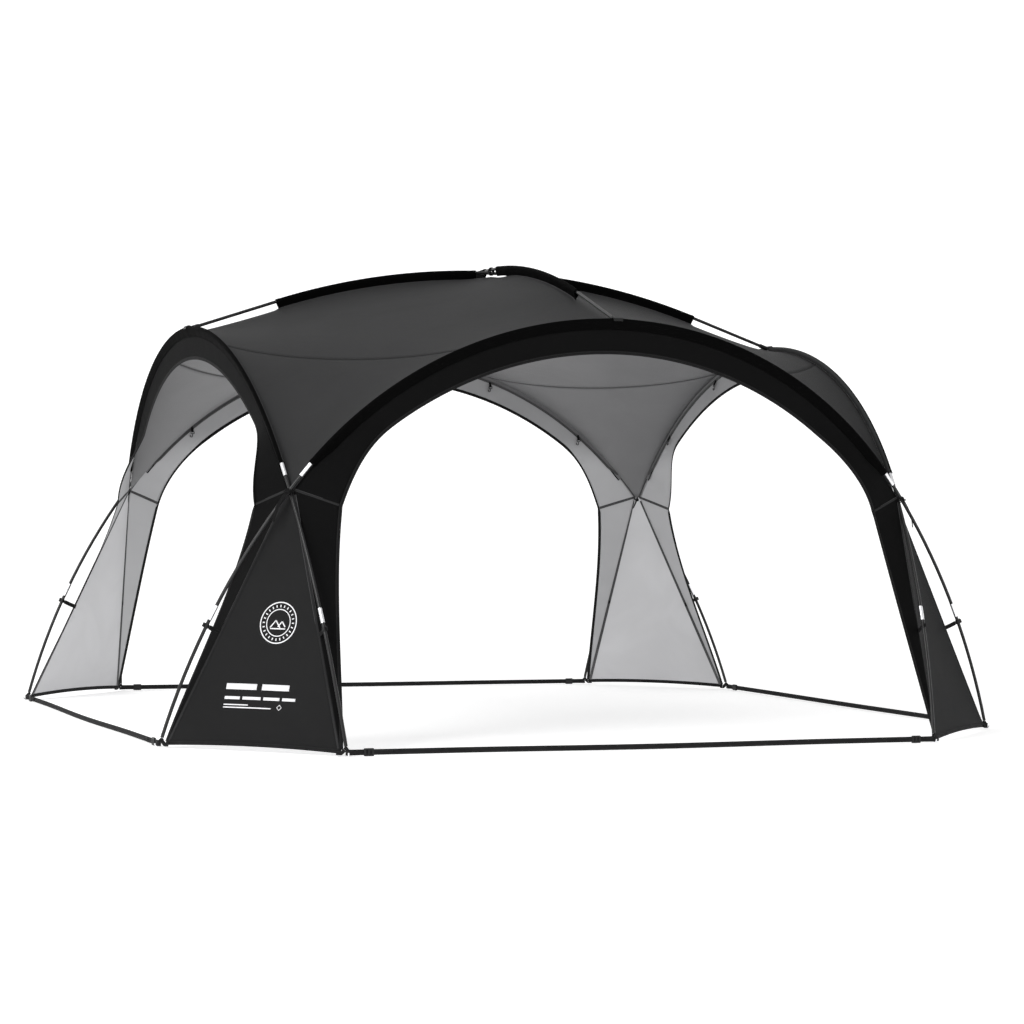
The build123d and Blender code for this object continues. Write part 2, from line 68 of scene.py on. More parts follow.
# ------------------------------------------------------------------ frame lines
@dataclass(frozen=True)
class FrameLines:
    """Lines that the poles follow, in metres and radians, as the CAD frame has them."""

    foot_reach: float = 2.107
    foot_stand: float = 1.453
    lean: float = math.radians(5.2)
    slant: float = 1.955
    crown_radius: float = 1.889
    crown_sweep: float = math.radians(51.55)
    apex: float = 2.302
    roof_sleeve_end: float = 1.160
    stagger: float = 0.01388
    half_pass: float = 0.0093
    leg_foot_back: float = 0.030
    hem_lift: float = 0.012
    sleeve_stop: float = 0.165
    roof_sleeve_start: float = 0.088
    strap_level: float = 0.0175
    clip_from_foot: float = 0.575
    channel: float = 0.036
    tip_inset: float = 0.014
    inset_fade: float = 0.12
    ridge_slack: float = 0.005
    hook_places: tuple = (0.620, 1.170)
    hook_fall: float = 0.066
    hook_stand: float = 0.014

    @property
    def sleeve_end(self) -> float:
        """Length from the crown at which an arch's sleeve stops."""
        return self.crossing - self.sleeve_stop

    def edge_inset(self, run: float) -> float:
        """Distance of the cloth's edge inside the pole's line, which shrinks by the sleeve's end."""
        past = min(1.0, max(0.0, (abs(run) - self.sleeve_end) / self.inset_fade + 1))
        return self.channel + (self.tip_inset - self.channel) * past * past * (3 - 2 * past)

    @property
    def crown_length(self) -> float:
        """Length of the crown bend, from the crown to the knee."""
        return self.crown_radius * self.crown_sweep

    @property
    def knee(self) -> tuple[float, float]:
        """Place of the knee in the arch's plane, where the leg's own bend starts."""
        drop = self.crown_radius * (1 - math.cos(self.crown_sweep))
        return self.crown_radius * math.sin(self.crown_sweep), self.slant - drop

    @property
    def leg(self) -> tuple[float, float]:
        """Radius and sweep of the leg's bend."""
        s, t = self.knee
        chord = math.hypot(self.foot_reach - s, t)
        pull = t * math.cos(self.crown_sweep) - (self.foot_reach - s) * math.sin(self.crown_sweep)
        return chord ** 2 / (2 * pull), 2 * math.asin(pull / chord)

    @property
    def length(self) -> float:
        """Length of an arch from its crown to the ground."""
        radius, sweep = self.leg
        return self.crown_length + radius * sweep

    def spot(self, length: float, inset: float = 0.0) -> tuple[float, float]:
        """Point of an arch in its own plane.

        Args:
            length: distance from the crown along the pole, negative towards the low end.
            inset: how far inside the pole's line the point lies.

        Returns:
            Distance along the door and height up the slanted plane.
        """
        side = 1 if length >= 0 else -1
        run = abs(length)
        if run <= self.crown_length:
            angle = run / self.crown_radius
            radius = self.crown_radius - inset
            return side * radius * math.sin(angle), self.slant - self.crown_radius + radius * math.cos(angle)
        radius, _ = self.leg
        knee_s, knee_t = self.knee
        angle = self.crown_sweep + (run - self.crown_length) / radius
        centre = (knee_s - radius * math.sin(self.crown_sweep), knee_t - radius * math.cos(self.crown_sweep))
        reach = radius - inset
        return side * (centre[0] + reach * math.sin(angle)), centre[1] + reach * math.cos(angle)

    def axes(self, side: int) -> tuple[Vector, Vector, Vector, Vector]:
        """Origin, door direction, slant direction and outward normal of an arch's plane."""
        turn = math.radians(90 * side)
        outward = Vector((math.sin(turn), -math.cos(turn), 0))
        across = Vector((math.cos(turn), math.sin(turn), 0))
        stand = self.foot_stand + (self.stagger if side % 2 == 0 else -self.stagger)
        slant = outward * math.sin(self.lean) + UP * math.cos(self.lean)
        normal = outward * math.cos(self.lean) - UP * math.sin(self.lean)
        return outward * stand, across, slant, normal

    def place(self, side: int, s: float, t: float, depth: float = 0.0) -> Vector:
        """Point of an arch's plane in the shelter's frame, depth metres inside it."""
        origin, across, slant, normal = self.axes(side % 4)
        return origin + across * s + slant * t - normal * depth

    def point(self, side: int, length: float, inset: float = 0.0, depth: float = 0.0) -> Vector:
        """Point beside a pole in the shelter's frame."""
        s, t = self.spot(length, inset)
        return self.place(side, s, t, depth)

    @property
    def crossing(self) -> float:
        """Length from the crown at which an arch meets its neighbour's plane."""
        low, high = 0.9, self.length
        for _ in range(50):
            middle = (low + high) / 2
            s, t = self.spot(middle)
            if self.foot_stand + t * math.sin(self.lean) > s:
                low = middle
            else:
                high = middle
        return low

    def crown_out(self, side: int) -> float:
        """Distance of an arch's crown from the shelter's axis."""
        origin, _, slant, _ = self.axes(side)
        return (origin + slant * self.slant).xy.length

    def roof_bend(self, pair: int) -> float:
        """Angle a roof pole bends through on its way to the sleeve's end."""
        drop = self.apex + (self.half_pass if pair == 0 else -self.half_pass)
        drop -= self.slant * math.cos(self.lean)
        bare = self.crown_out(pair) - self.roof_sleeve_end
        low, high = 0.02, 1.2
        for _ in range(50):
            middle = (low + high) / 2
            if self.roof_sleeve_end * math.tan(middle / 2) + bare * math.tan(middle) < drop:
                low = middle
            else:
                high = middle
        return low

    def roof_height(self, pair: int, out: float) -> float:
        """Height of a roof pole's middle line at a distance from the apex."""
        bend = self.roof_bend(pair)
        radius = self.roof_sleeve_end / math.sin(bend)
        top = self.apex + (self.half_pass if pair == 0 else -self.half_pass)
        if out <= self.roof_sleeve_end:
            return top - radius + math.sqrt(radius ** 2 - out ** 2)
        return top - radius * (1 - math.cos(bend)) - (out - self.roof_sleeve_end) * math.tan(bend)

    def roof_point(self, side: int, out: float, under: float = 0.0) -> Vector:
        """Point of the roof pole that runs out to a side, or a distance under it."""
        outward = self.axes(side % 4)[0].normalized()
        height = self.roof_height(side % 2, abs(out))
        bend = self.roof_bend(side % 2)
        tilt = min(1.0, abs(out) / self.roof_sleeve_end) * bend * (1 if out >= 0 else -1)
        above = outward * math.sin(tilt) + UP * math.cos(tilt)
        return outward * out + UP * height - above * under

    def tangent(self, side: int, length: float) -> Vector:
        """Direction of an arch pole, away from its low end."""
        reach = 0.002
        return (self.point(side, length + reach) - self.point(side, length - reach)).normalized()

    def foot(self, side: int, end: int) -> Vector:
        """Where a pole's line meets the ground."""
        return self.point(side % 4, end * self.length)

    def leg_corner(self, side: int, end: int) -> Vector:
        """Bottom corner of a leg panel, beside the foot of one arch."""
        foot = self.foot(side, end)
        other = self.foot(side + end, -end)
        return foot + (other - foot).normalized() * self.leg_foot_back + UP * self.hem_lift


# ------------------------------------------------------------------ mesh helpers
def mapped_grid(bm: bmesh.types.BMesh, columns: int, rows: int,
                place: Callable[[float, float], Vector]) -> dict:
    """Add a grid and lay it on a surface.

    Args:
        bm: mesh that takes the grid.
        columns: squares along the first way.
        rows: squares along the second way.
        place: gives the point for two shares from 0 to 1.

    Returns:
        The vertices, keyed by column and row.
    """
    made = bmesh.ops.create_grid(bm, x_segments=columns, y_segments=rows, size=1.0)
    verts = {}
    for vert in made["verts"]:
        u, v = (vert.co.x + 1) / 2, (vert.co.y + 1) / 2
        verts[round(u * columns), round(v * rows)] = vert
        vert.co = place(u, v)
    return verts


def flat_uv(bm: bmesh.types.BMesh, across: Vector, along: Vector) -> None:
    """Give every corner a UV in metres, measured along two directions."""
    layer = bm.loops.layers.uv.verify()
    for face in bm.faces:
        for loop in face.loops:
            loop[layer].uv = (loop.vert.co.dot(across), loop.vert.co.dot(along))


def face_towards(bm: bmesh.types.BMesh, way: Callable[[Vector], Vector]) -> None:
    """Turn an open sheet so that its faces look the given way on the whole."""
    bmesh.ops.recalc_face_normals(bm, faces=bm.faces)
    bm.normal_update()
    lean = sum(face.normal.dot(way(face.calc_center_median())) * face.calc_area() for face in bm.faces)
    if lean < 0:
        bmesh.ops.reverse_faces(bm, faces=bm.faces)


def finish_mesh(bm: bmesh.types.BMesh, name: str, materials: Sequence[bpy.types.Material]) -> bpy.types.Object:
    """Turn a bmesh into a smooth object that rides on the shelter.

    Args:
        bm: mesh to use up.
        name: name of the piece.
        materials: finishes, the outside first.

    Returns:
        The new object.
    """
    for face in bm.faces:
        face.smooth = True
    mesh = bpy.data.meshes.new(name)
    bm.to_mesh(mesh)
    bm.free()
    piece = bpy.data.objects.new(name, mesh)
    bpy.context.scene.collection.objects.link(piece)
    for material in materials:
        mesh.materials.append(material)
    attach(piece, BODY)
    log.info("%s: %d faces", name, len(mesh.polygons))
    return piece


def thicken(piece: bpy.types.Object, thickness: float, two_faced: bool = True) -> None:
    """Give a sheet its thickness, with the second finish on its inner face."""
    solid = piece.modifiers.new("thickness", "SOLIDIFY")
    solid.thickness = thickness
    solid.offset = -1
    solid.use_even_offset = True
    if two_faced:
        solid.material_offset = 1


def sweep_section(bm: bmesh.types.BMesh, path: Sequence[Vector], normals: Sequence[Vector],
                  section: Callable[[float, float], tuple], around: int, closed: bool = True) -> None:
    """Sweep a closed section along a path.

    Args:
        bm: mesh that takes the sweep.
        path: points of the middle line.
        normals: direction of the section's second axis at each point.
        section: gives the offsets across and along the normal for a share of a turn and a run in metres.
        around: sides of the section.
        closed: whether the two ends are closed.
    """
    last = len(path) - 1
    run = [0.0]
    for first, second in zip(path, path[1:]):
        run.append(run[-1] + (second - first).length)
    frames = []
    for index in range(last + 1):
        ahead = (path[min(index + 1, last)] - path[max(index - 1, 0)]).normalized()
        normal = (normals[index] - ahead * normals[index].dot(ahead)).normalized()
        frames.append((path[index], ahead.cross(normal), normal))

    def place(u: float, v: float) -> Vector:
        """Point of the sweep."""
        index = round(u * last)
        centre, across, normal = frames[index]
        x, y = section(v, run[index])
        return centre + across * x + normal * y

    verts = mapped_grid(bm, last, around, place)
    layer = bm.loops.layers.uv.verify()
    keys = {vert: key for key, vert in verts.items()}
    faces = list({face for vert in keys for face in vert.link_faces})
    for face in faces:
        for loop in face.loops:
            column, row = keys[loop.vert]
            loop[layer].uv = (run[column], section(row / around, run[column])[0])
    bmesh.ops.remove_doubles(bm, verts=list(verts.values()), dist=1e-6)
    faces = [face for face in faces if face.is_valid]
    if closed:
        ends = list({edge for face in faces for edge in face.edges if edge.is_boundary})
        faces += bmesh.ops.holes_fill(bm, edges=ends, sides=0)["faces"]
    bmesh.ops.recalc_face_normals(bm, faces=faces)


def flat_section(half_width: float, half_height: float) -> Callable[[float, float], tuple]:
    """Rounded flat band for a webbing, tape or binding."""
    power = 0.45

    def at(v: float, run: float) -> tuple:
        """Offsets at a share of a turn, squared off towards the band's edges."""
        angle = 2 * math.pi * v
        x, y = math.cos(angle), math.sin(angle)
        return half_width * math.copysign(abs(x) ** power, x), half_height * math.copysign(abs(y) ** power, y)

    return at


def round_section(radius: float) -> Callable[[float, float], tuple]:
    """Round section for a cord or ring."""
    return lambda v, run: (radius * math.cos(2 * math.pi * v), radius * math.sin(2 * math.pi * v))


def sharpen(bm: bmesh.types.BMesh, angle: float) -> None:
    """Mark the edges of a hard piece that turn by more than an angle."""
    for edge in bm.edges:
        edge.smooth = len(edge.link_faces) != 2 or edge.calc_face_angle(0.0) < angle


def even(low: float, high: float, step: float) -> list[float]:
    """Evenly spaced values from low to high, about a step apart."""
    count = max(1, round(abs(high - low) / step))
    return [low + (high - low) * index / count for index in range(count + 1)]


# ------------------------------------------------------------------- materials
def new_group(name: str, inputs: Sequence[tuple], outputs: Sequence[tuple]) -> tuple:
    """Make an empty shader node group.

    Args:
        name: name of the group.
        inputs: name, socket kind and default of each input.
        outputs: name and socket kind of each output.

    Returns:
        The group and its input and output nodes.
    """
    group = bpy.data.node_groups.new(name, "ShaderNodeTree")
    for label, kind, default in inputs:
        socket = group.interface.new_socket(label, in_out="INPUT", socket_type=kind)
        if default is not None:
            socket.default_value = default
    for label, kind in outputs:
        group.interface.new_socket(label, in_out="OUTPUT", socket_type=kind)
    return group, group.nodes.new("NodeGroupInput"), group.nodes.new("NodeGroupOutput")


def math_node(tree: bpy.types.NodeTree, operation: str, first: object,
              second: object = 0.0) -> bpy.types.NodeSocket:
    """Add a math node fed by sockets or numbers and give its output."""
    node = tree.nodes.new("ShaderNodeMath")
    node.operation = operation
    for socket, value in zip(node.inputs, (first, second)):
        if isinstance(value, bpy.types.NodeSocket):
            tree.links.new(value, socket)
        else:
            socket.default_value = value
    return node.outputs[0]


def weave_group() -> bpy.types.NodeTree:
    """Plain weave: threads over and under on a UV map in metres."""
    group, source, sink = new_group(
        "plain_weave",
        [("Vector", "NodeSocketVector", None), ("Threads per metre", "NodeSocketFloat", 800.0)],
        [("Height", "NodeSocketFloat")])
    split = group.nodes.new("ShaderNodeSeparateXYZ")
    group.links.new(source.outputs["Vector"], split.inputs[0])
    turns = math_node(group, "MULTIPLY", source.outputs["Threads per metre"], math.pi)
    waves = [math_node(group, "SINE", math_node(group, "MULTIPLY", split.outputs[axis], turns))
             for axis in (0, 1)]
    over = math_node(group, "MULTIPLY", waves[0], waves[1])
    group.links.new(over, sink.inputs["Height"])
    return group


def slack_group() -> bpy.types.NodeTree:
    """Soft creases and shading of a cloth pulled unevenly."""
    group, source, sink = new_group(
        "cloth_slack",
        [("Vector", "NodeSocketVector", None), ("Scale", "NodeSocketFloat", 3.0)],
        [("Height", "NodeSocketFloat"), ("Patches", "NodeSocketFloat")])
    broad = group.nodes.new("ShaderNodeTexNoise")
    broad.inputs["Detail"].default_value = 3.0
    broad.inputs["Roughness"].default_value = 0.55
    broad.inputs["Distortion"].default_value = 0.6
    group.links.new(source.outputs["Vector"], broad.inputs["Vector"])
    group.links.new(source.outputs["Scale"], broad.inputs["Scale"])
    fine = group.nodes.new("ShaderNodeTexNoise")
    fine.inputs["Detail"].default_value = 5.0
    group.links.new(source.outputs["Vector"], fine.inputs["Vector"])
    group.links.new(math_node(group, "MULTIPLY", source.outputs["Scale"], 9.0), fine.inputs["Scale"])
    mixed = math_node(group, "ADD", broad.outputs[0], math_node(group, "MULTIPLY", fine.outputs[0], 0.12))
    group.links.new(mixed, sink.inputs["Height"])
    group.links.new(broad.outputs[0], sink.inputs["Patches"])
    return group


def wear_group() -> bpy.types.NodeTree:
    """Dust and rub marks: a patchy mask that is stronger near the ground."""
    group, source, sink = new_group(
        "wear", [("Vector", "NodeSocketVector", None), ("Reach", "NodeSocketFloat", 0.35)],
        [("Mask", "NodeSocketFloat")])
    spots = group.nodes.new("ShaderNodeTexNoise")
    spots.inputs["Scale"].default_value = 22.0
    spots.inputs["Detail"].default_value = 6.0
    group.links.new(source.outputs["Vector"], spots.inputs["Vector"])
    split = group.nodes.new("ShaderNodeSeparateXYZ")
    group.links.new(source.outputs["Vector"], split.inputs[0])
    height = math_node(group, "DIVIDE", split.outputs[2], source.outputs["Reach"])
    low = math_node(group, "SUBTRACT", 1.0, height)
    low = math_node(group, "MAXIMUM", low, 0.0)
    mask = math_node(group, "MULTIPLY", spots.outputs[0], low)
    group.links.new(mask, sink.inputs["Mask"])
    return group


def stitch_group() -> bpy.types.NodeTree:
    """Two rows of stitches beside the middle of a tape, on a UV map in metres."""
    group, source, sink = new_group(
        "stitches",
        [("Vector", "NodeSocketVector", None), ("Row", "NodeSocketFloat", 0.006),
         ("Pitch", "NodeSocketFloat", 0.0042)],
        [("Mask", "NodeSocketFloat")])
    split = group.nodes.new("ShaderNodeSeparateXYZ")
    group.links.new(source.outputs["Vector"], split.inputs[0])
    across = math_node(group, "ABSOLUTE", split.outputs[1])
    away = math_node(group, "ABSOLUTE", math_node(group, "SUBTRACT", across, source.outputs["Row"]))
    on_row = math_node(group, "LESS_THAN", away, 0.0005)
    step = math_node(group, "FRACT", math_node(group, "DIVIDE", split.outputs[0], source.outputs["Pitch"]))
    dash = math_node(group, "LESS_THAN", step, 0.66)
    group.links.new(math_node(group, "MULTIPLY", on_row, dash), sink.inputs["Mask"])
    return group


@dataclass
class Shop:
    """Node groups shared by the finishes."""

    weave: bpy.types.NodeTree = field(default_factory=weave_group)
    slack: bpy.types.NodeTree = field(default_factory=slack_group)
    wear: bpy.types.NodeTree = field(default_factory=wear_group)
    stitch: bpy.types.NodeTree = field(default_factory=stitch_group)

    def start(self, name: str) -> tuple:
        """Make a material and give its tree, shader and coordinates."""
        material = bpy.data.materials.new(name)
        material.use_nodes = True
        tree = material.node_tree
        shader = tree.nodes["Principled BSDF"]
        return material, tree, shader, tree.nodes.new("ShaderNodeTexCoord")

    def use(self, tree: bpy.types.NodeTree, group: bpy.types.NodeTree, vector: bpy.types.NodeSocket,
            **values: float) -> bpy.types.Node:
        """Place a shared group in a material."""
        node = tree.nodes.new("ShaderNodeGroup")
        node.node_tree = group
        tree.links.new(vector, node.inputs["Vector"])
        for label, value in values.items():
            node.inputs[label.replace("_", " ")].default_value = value
        return node

    def bump(self, tree: bpy.types.NodeTree, shader: bpy.types.Node, layers: Sequence[tuple]) -> None:
        """Stack bumps of height socket, strength and distance onto a shader's normal."""
        last = None
        for height, strength, distance in layers:
            node = tree.nodes.new("ShaderNodeBump")
            node.inputs["Strength"].default_value = strength
            node.inputs["Distance"].default_value = distance
            tree.links.new(height, node.inputs["Height"])
            if last is not None:
                tree.links.new(last, node.inputs["Normal"])
            last = node.outputs["Normal"]
        tree.links.new(last, shader.inputs["Normal"])

    def mix(self, tree: bpy.types.NodeTree, share: bpy.types.NodeSocket, first: object, second: object):
        """Mix two colours, each a socket or three numbers, and give the mixed socket."""
        node = tree.nodes.new("ShaderNodeMix")
        node.data_type = "RGBA"
        tree.links.new(share, node.inputs[0])
        for socket, colour in ((node.inputs[6], first), (node.inputs[7], second)):
            if isinstance(colour, bpy.types.NodeSocket):
                tree.links.new(colour, socket)
            else:
                socket.default_value = (*colour, 1.0)
        return node.outputs[2]

    def blend(self, tree: bpy.types.NodeTree, shader: bpy.types.Node, share: bpy.types.NodeSocket,
              first: tuple, second: tuple) -> None:
        """Mix two colours into the shader's base colour."""
        tree.links.new(self.mix(tree, share, first, second), shader.inputs["Base Color"])


def shade(level: float, spread: float) -> tuple:
    """Neutral colour a little cooler than grey, moved by a share."""
    value = level * spread
    return (value, value, value * 1.02)


@dataclass(frozen=True)
class CoatedCloth:
    """Woven polyester with a coating on one face."""

    name: str
    level: float
    roughness: float
    sheen: float
    threads: float = 760.0
    slack_scale: float = 2.6
    slack_depth: float = 0.010
    metallic: float = 0.0
    gloss: float = 0.10

    def make(self, shop: Shop) -> bpy.types.Material:
        """Build the material."""
        material, tree, shader, coords = shop.start(self.name)
        slack = shop.use(tree, shop.slack, coords.outputs["Object"], Scale=self.slack_scale)
        weave = shop.use(tree, shop.weave, coords.outputs["UV"], Threads_per_metre=self.threads)
        shop.blend(tree, shader, slack.outputs["Patches"], shade(self.level, 0.86), shade(self.level, 1.14))
        shader.inputs["Roughness"].default_value = self.roughness
        shader.inputs["Metallic"].default_value = self.metallic
        shader.inputs["Sheen Weight"].default_value = self.sheen
        shader.inputs["Sheen Roughness"].default_value = 0.45
        shader.inputs["Specular IOR Level"].default_value = self.gloss
        shop.bump(tree, shader, [(slack.outputs["Height"], 0.35, self.slack_depth),
                                 (weave.outputs["Height"], 0.25, 0.0003)])
        return material


@dataclass(frozen=True)
class Webbing:
    """Woven tape, ribbed across, with rows of stitches and dusty lows near the ground."""

    name: str
    level: float
    ribs: float = 420.0
    stitch_row: float = 0.0
    stitch_level: float = 0.10
    gloss: float = 0.08

    def make(self, shop: Shop) -> bpy.types.Material:
        """Build the material."""
        material, tree, shader, coords = shop.start(self.name)
        weave = shop.use(tree, shop.weave, coords.outputs["UV"], Threads_per_metre=self.ribs)
        wear = shop.use(tree, shop.wear, coords.outputs["Object"], Reach=0.3)
        stitch = shop.use(tree, shop.stitch, coords.outputs["UV"], Row=self.stitch_row)
        body = shop.mix(tree, wear.outputs["Mask"], shade(self.level, 1.0), shade(self.level, 2.4))
        seam = stitch.outputs["Mask"] if self.stitch_row > 0 else None
        if seam is None:
            tree.nodes.remove(stitch)
            tree.links.new(body, shader.inputs["Base Color"])
            layers = [(weave.outputs["Height"], 0.5, 0.0006)]
        else:
            thread = shop.mix(tree, seam, body, shade(self.stitch_level, 1.0))
            tree.links.new(thread, shader.inputs["Base Color"])
            layers = [(weave.outputs["Height"], 0.5, 0.0006), (seam, 0.6, 0.0008)]
        shader.inputs["Roughness"].default_value = 0.82
        shader.inputs["Specular IOR Level"].default_value = self.gloss
        shader.inputs["Sheen Weight"].default_value = 0.02
        shop.bump(tree, shader, layers)
        return material


@dataclass(frozen=True)
class HardFinish:
    """Painted, plated or moulded surface with fine grain and rub marks."""

    name: str
    level: float
    roughness: float
    metallic: float
    grain: float
    grain_depth: float
    coat: float = 0.0
    gloss: float = 0.25

    def make(self, shop: Shop) -> bpy.types.Material:
        """Build the material."""
        material, tree, shader, coords = shop.start(self.name)
        wear = shop.use(tree, shop.wear, coords.outputs["Object"], Reach=2.6)
        grain = tree.nodes.new("ShaderNodeTexNoise")
        grain.inputs["Scale"].default_value = self.grain
        grain.inputs["Detail"].default_value = 4.0
        tree.links.new(coords.outputs["Object"], grain.inputs["Vector"])
        shop.blend(tree, shader, wear.outputs["Mask"], shade(self.level, 0.92), shade(self.level, 1.35))
        spread = tree.nodes.new("ShaderNodeMapRange")
        spread.inputs["To Min"].default_value = self.roughness - 0.07
        spread.inputs["To Max"].default_value = self.roughness + 0.07
        tree.links.new(grain.outputs[0], spread.inputs["Value"])
        tree.links.new(spread.outputs[0], shader.inputs["Roughness"])
        shader.inputs["Metallic"].default_value = self.metallic
        shader.inputs["Coat Weight"].default_value = self.coat
        shader.inputs["Specular IOR Level"].default_value = self.gloss
        shop.bump(tree, shader, [(grain.outputs[0], 0.3, self.grain_depth)])
        return material


# ------------------------------------------------------------------ cloth parts
@dataclass
class RoofCloth:
    """Crown panel and corner panels, stretched between the arches and the ridges."""

    lines: FrameLines
    outside: bpy.types.Material
    inside: bpy.types.Material
    seam: float = 0.590
    edge_depth: float = 0.0088
    edge_inset: float = 0.016
    apex_drop: float = 0.018
    tip_back: float = 0.022
    columns: int = 84
    rows: int = 40
    passes: int = 900
    easing: int = 3
    thickness: float = 0.0009
    seam_lines: dict = field(default_factory=dict)

    def edge(self, side: int, end: int, share: float) -> tuple[Vector, bool]:
        """Point of a quadrant's edge, from the tip up the arch and along the ridge.

        Args:
            side: arch that the edge follows.
            end: which half of that arch.
            share: 0 at the tip, 1 at the apex.

        Returns:
            The point, and whether it is on the free stretch of ridge.
        """
        lines = self.lines
        arch_run = lines.crossing - self.tip_back
        column = round(share * self.columns)
        if column <= self.arch_columns:
            part = column / self.arch_columns
            if column <= self.seam_column:
                run = arch_run + (self.seam - arch_run) * column / self.seam_column
            else:
                run = self.seam * (1 - (column - self.seam_column) / (self.arch_columns - self.seam_column))
            inset = min(lines.edge_inset(run), self.edge_inset)
            return lines.point(side, end * run, inset, self.edge_depth), False
        part = (column - self.arch_columns) / (self.columns - self.arch_columns)
        outward = lines.axes(side)[0].normalized()
        crown = lines.point(side, 0, self.edge_inset, self.edge_depth)
        crown_out = crown.dot(outward)
        out = crown_out * (1 - part)
        pair = side % 2
        free = out > lines.roof_sleeve_end
        if free:
            share = (out - lines.roof_sleeve_end) / (crown_out - lines.roof_sleeve_end)
            start = lines.roof_height(pair, lines.roof_sleeve_end) - lines.channel
            height = start + (crown.z - start) * share - 4 * lines.ridge_slack * share * (1 - share)
        else:
            settle = max(0.0, 1 - out / 0.35)
            drop = self.apex_drop + (lines.channel - self.apex_drop) * min(1.0, out / lines.roof_sleeve_start)
            height = lines.roof_height(pair, out) - drop
            height -= settle * (2 * lines.half_pass if pair == 0 else 0.0)
        return outward * out + UP * height, free

    @property
    def arch_columns(self) -> int:
        """Grid columns that follow the arch."""
        return self.columns * 46 // 84

    @property
    def seam_column(self) -> int:
        """Grid column of the crown panel's seam."""
        return self.columns * 30 // 84

    def build(self) -> list[bpy.types.Object]:
        """Stretch the whole roof, then part it at the crown panel's seams."""
        bm = bmesh.new()
        panel = bm.faces.layers.int.new("panel")
        pinned = bm.verts.layers.int.new("pinned")
        grids = []
        for corner in range(4):
            near, far = corner, (corner - 1) % 4

            def place(u: float, v: float) -> Vector:
                """Point between the quadrant's two edges."""
                a, _ = self.edge(far, 1, u)
                b, _ = self.edge(near, -1, u)
                span = (b - a).length
                return a.lerp(b, v) - UP * (0.10 * span * v * (1 - v))

            before = set(bm.faces)
            verts = mapped_grid(bm, self.columns, self.rows, place)
            for (column, row), vert in verts.items():
                free = self.edge(near if row else far, -1 if row else 1, column / self.columns)[1]
                on_edge = row in (0, self.rows)
                held = on_edge or column == 0 or column == self.columns
                vert[pinned] = (1 if free else 2) if held else 0
            index_of = {vert: key for key, vert in verts.items()}
            for face in set(bm.faces) - before:
                middle = sum(index_of[vert][0] for vert in face.verts) / len(face.verts)
                face[panel] = corner + 1 if middle < self.seam_column else 0
            grids.append(verts)
        lines_kept = {}
        for corner, verts in enumerate(grids):
            lines_kept["seam", corner] = [verts[self.seam_column, row] for row in range(self.rows + 1)]
            ridge = range(self.arch_columns, self.columns + 1)
            lines_kept["ridge", corner] = [verts[column, self.rows] for column in ridge]
        twins = bmesh.ops.find_doubles(bm, verts=bm.verts, dist=2e-4)["targetmap"]
        lines_kept = {key: [twins.get(vert, vert) for vert in verts] for key, verts in lines_kept.items()}
        bmesh.ops.weld_verts(bm, targetmap=twins)
        face_towards(bm, lambda at: UP)
        self.relax(bm, pinned)
        bm.normal_update()
        for key, verts in lines_kept.items():
            spots = [(vert.co.copy(), vert.normal.copy()) for vert in verts if vert.is_valid]
            self.seam_lines[key] = spots
        flat_uv(bm, Vector((1, 0, 0)), Vector((0, 1, 0)))
        pieces = []
        names = ["crown_panel"] + [f"{corner}_corner_panel" for corner in CORNERS]
        for number, name in enumerate(names):
            part = bm.copy()
            layer = part.faces.layers.int["panel"]
            others = [face for face in part.faces if face[layer] != number]
            bmesh.ops.delete(part, geom=others, context="FACES")
            area = sum(face.calc_area() for face in part.faces)
            piece = finish_mesh(part, f"{name}_cloth", (self.outside, self.inside))
            thicken(piece, self.thickness)
            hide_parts(name)
            pieces.append(piece)
        bm.free()
        return pieces

    def relax(self, bm: bmesh.types.BMesh, pinned: object) -> None:
        """Let the sheet pull itself taut between its held edges, then ease the unsupported ridges."""
        axes = {"use_axis_x": True, "use_axis_y": True, "use_axis_z": True}
        free = [vert for vert in bm.verts if not vert[pinned]]
        for _ in range(self.passes):
            bmesh.ops.smooth_vert(bm, verts=free, factor=0.5, **axes)
        eased = [vert for vert in bm.verts if vert[pinned] < 2]
        for _ in range(self.easing):
            bmesh.ops.smooth_vert(bm, verts=eased, factor=0.5, **axes)


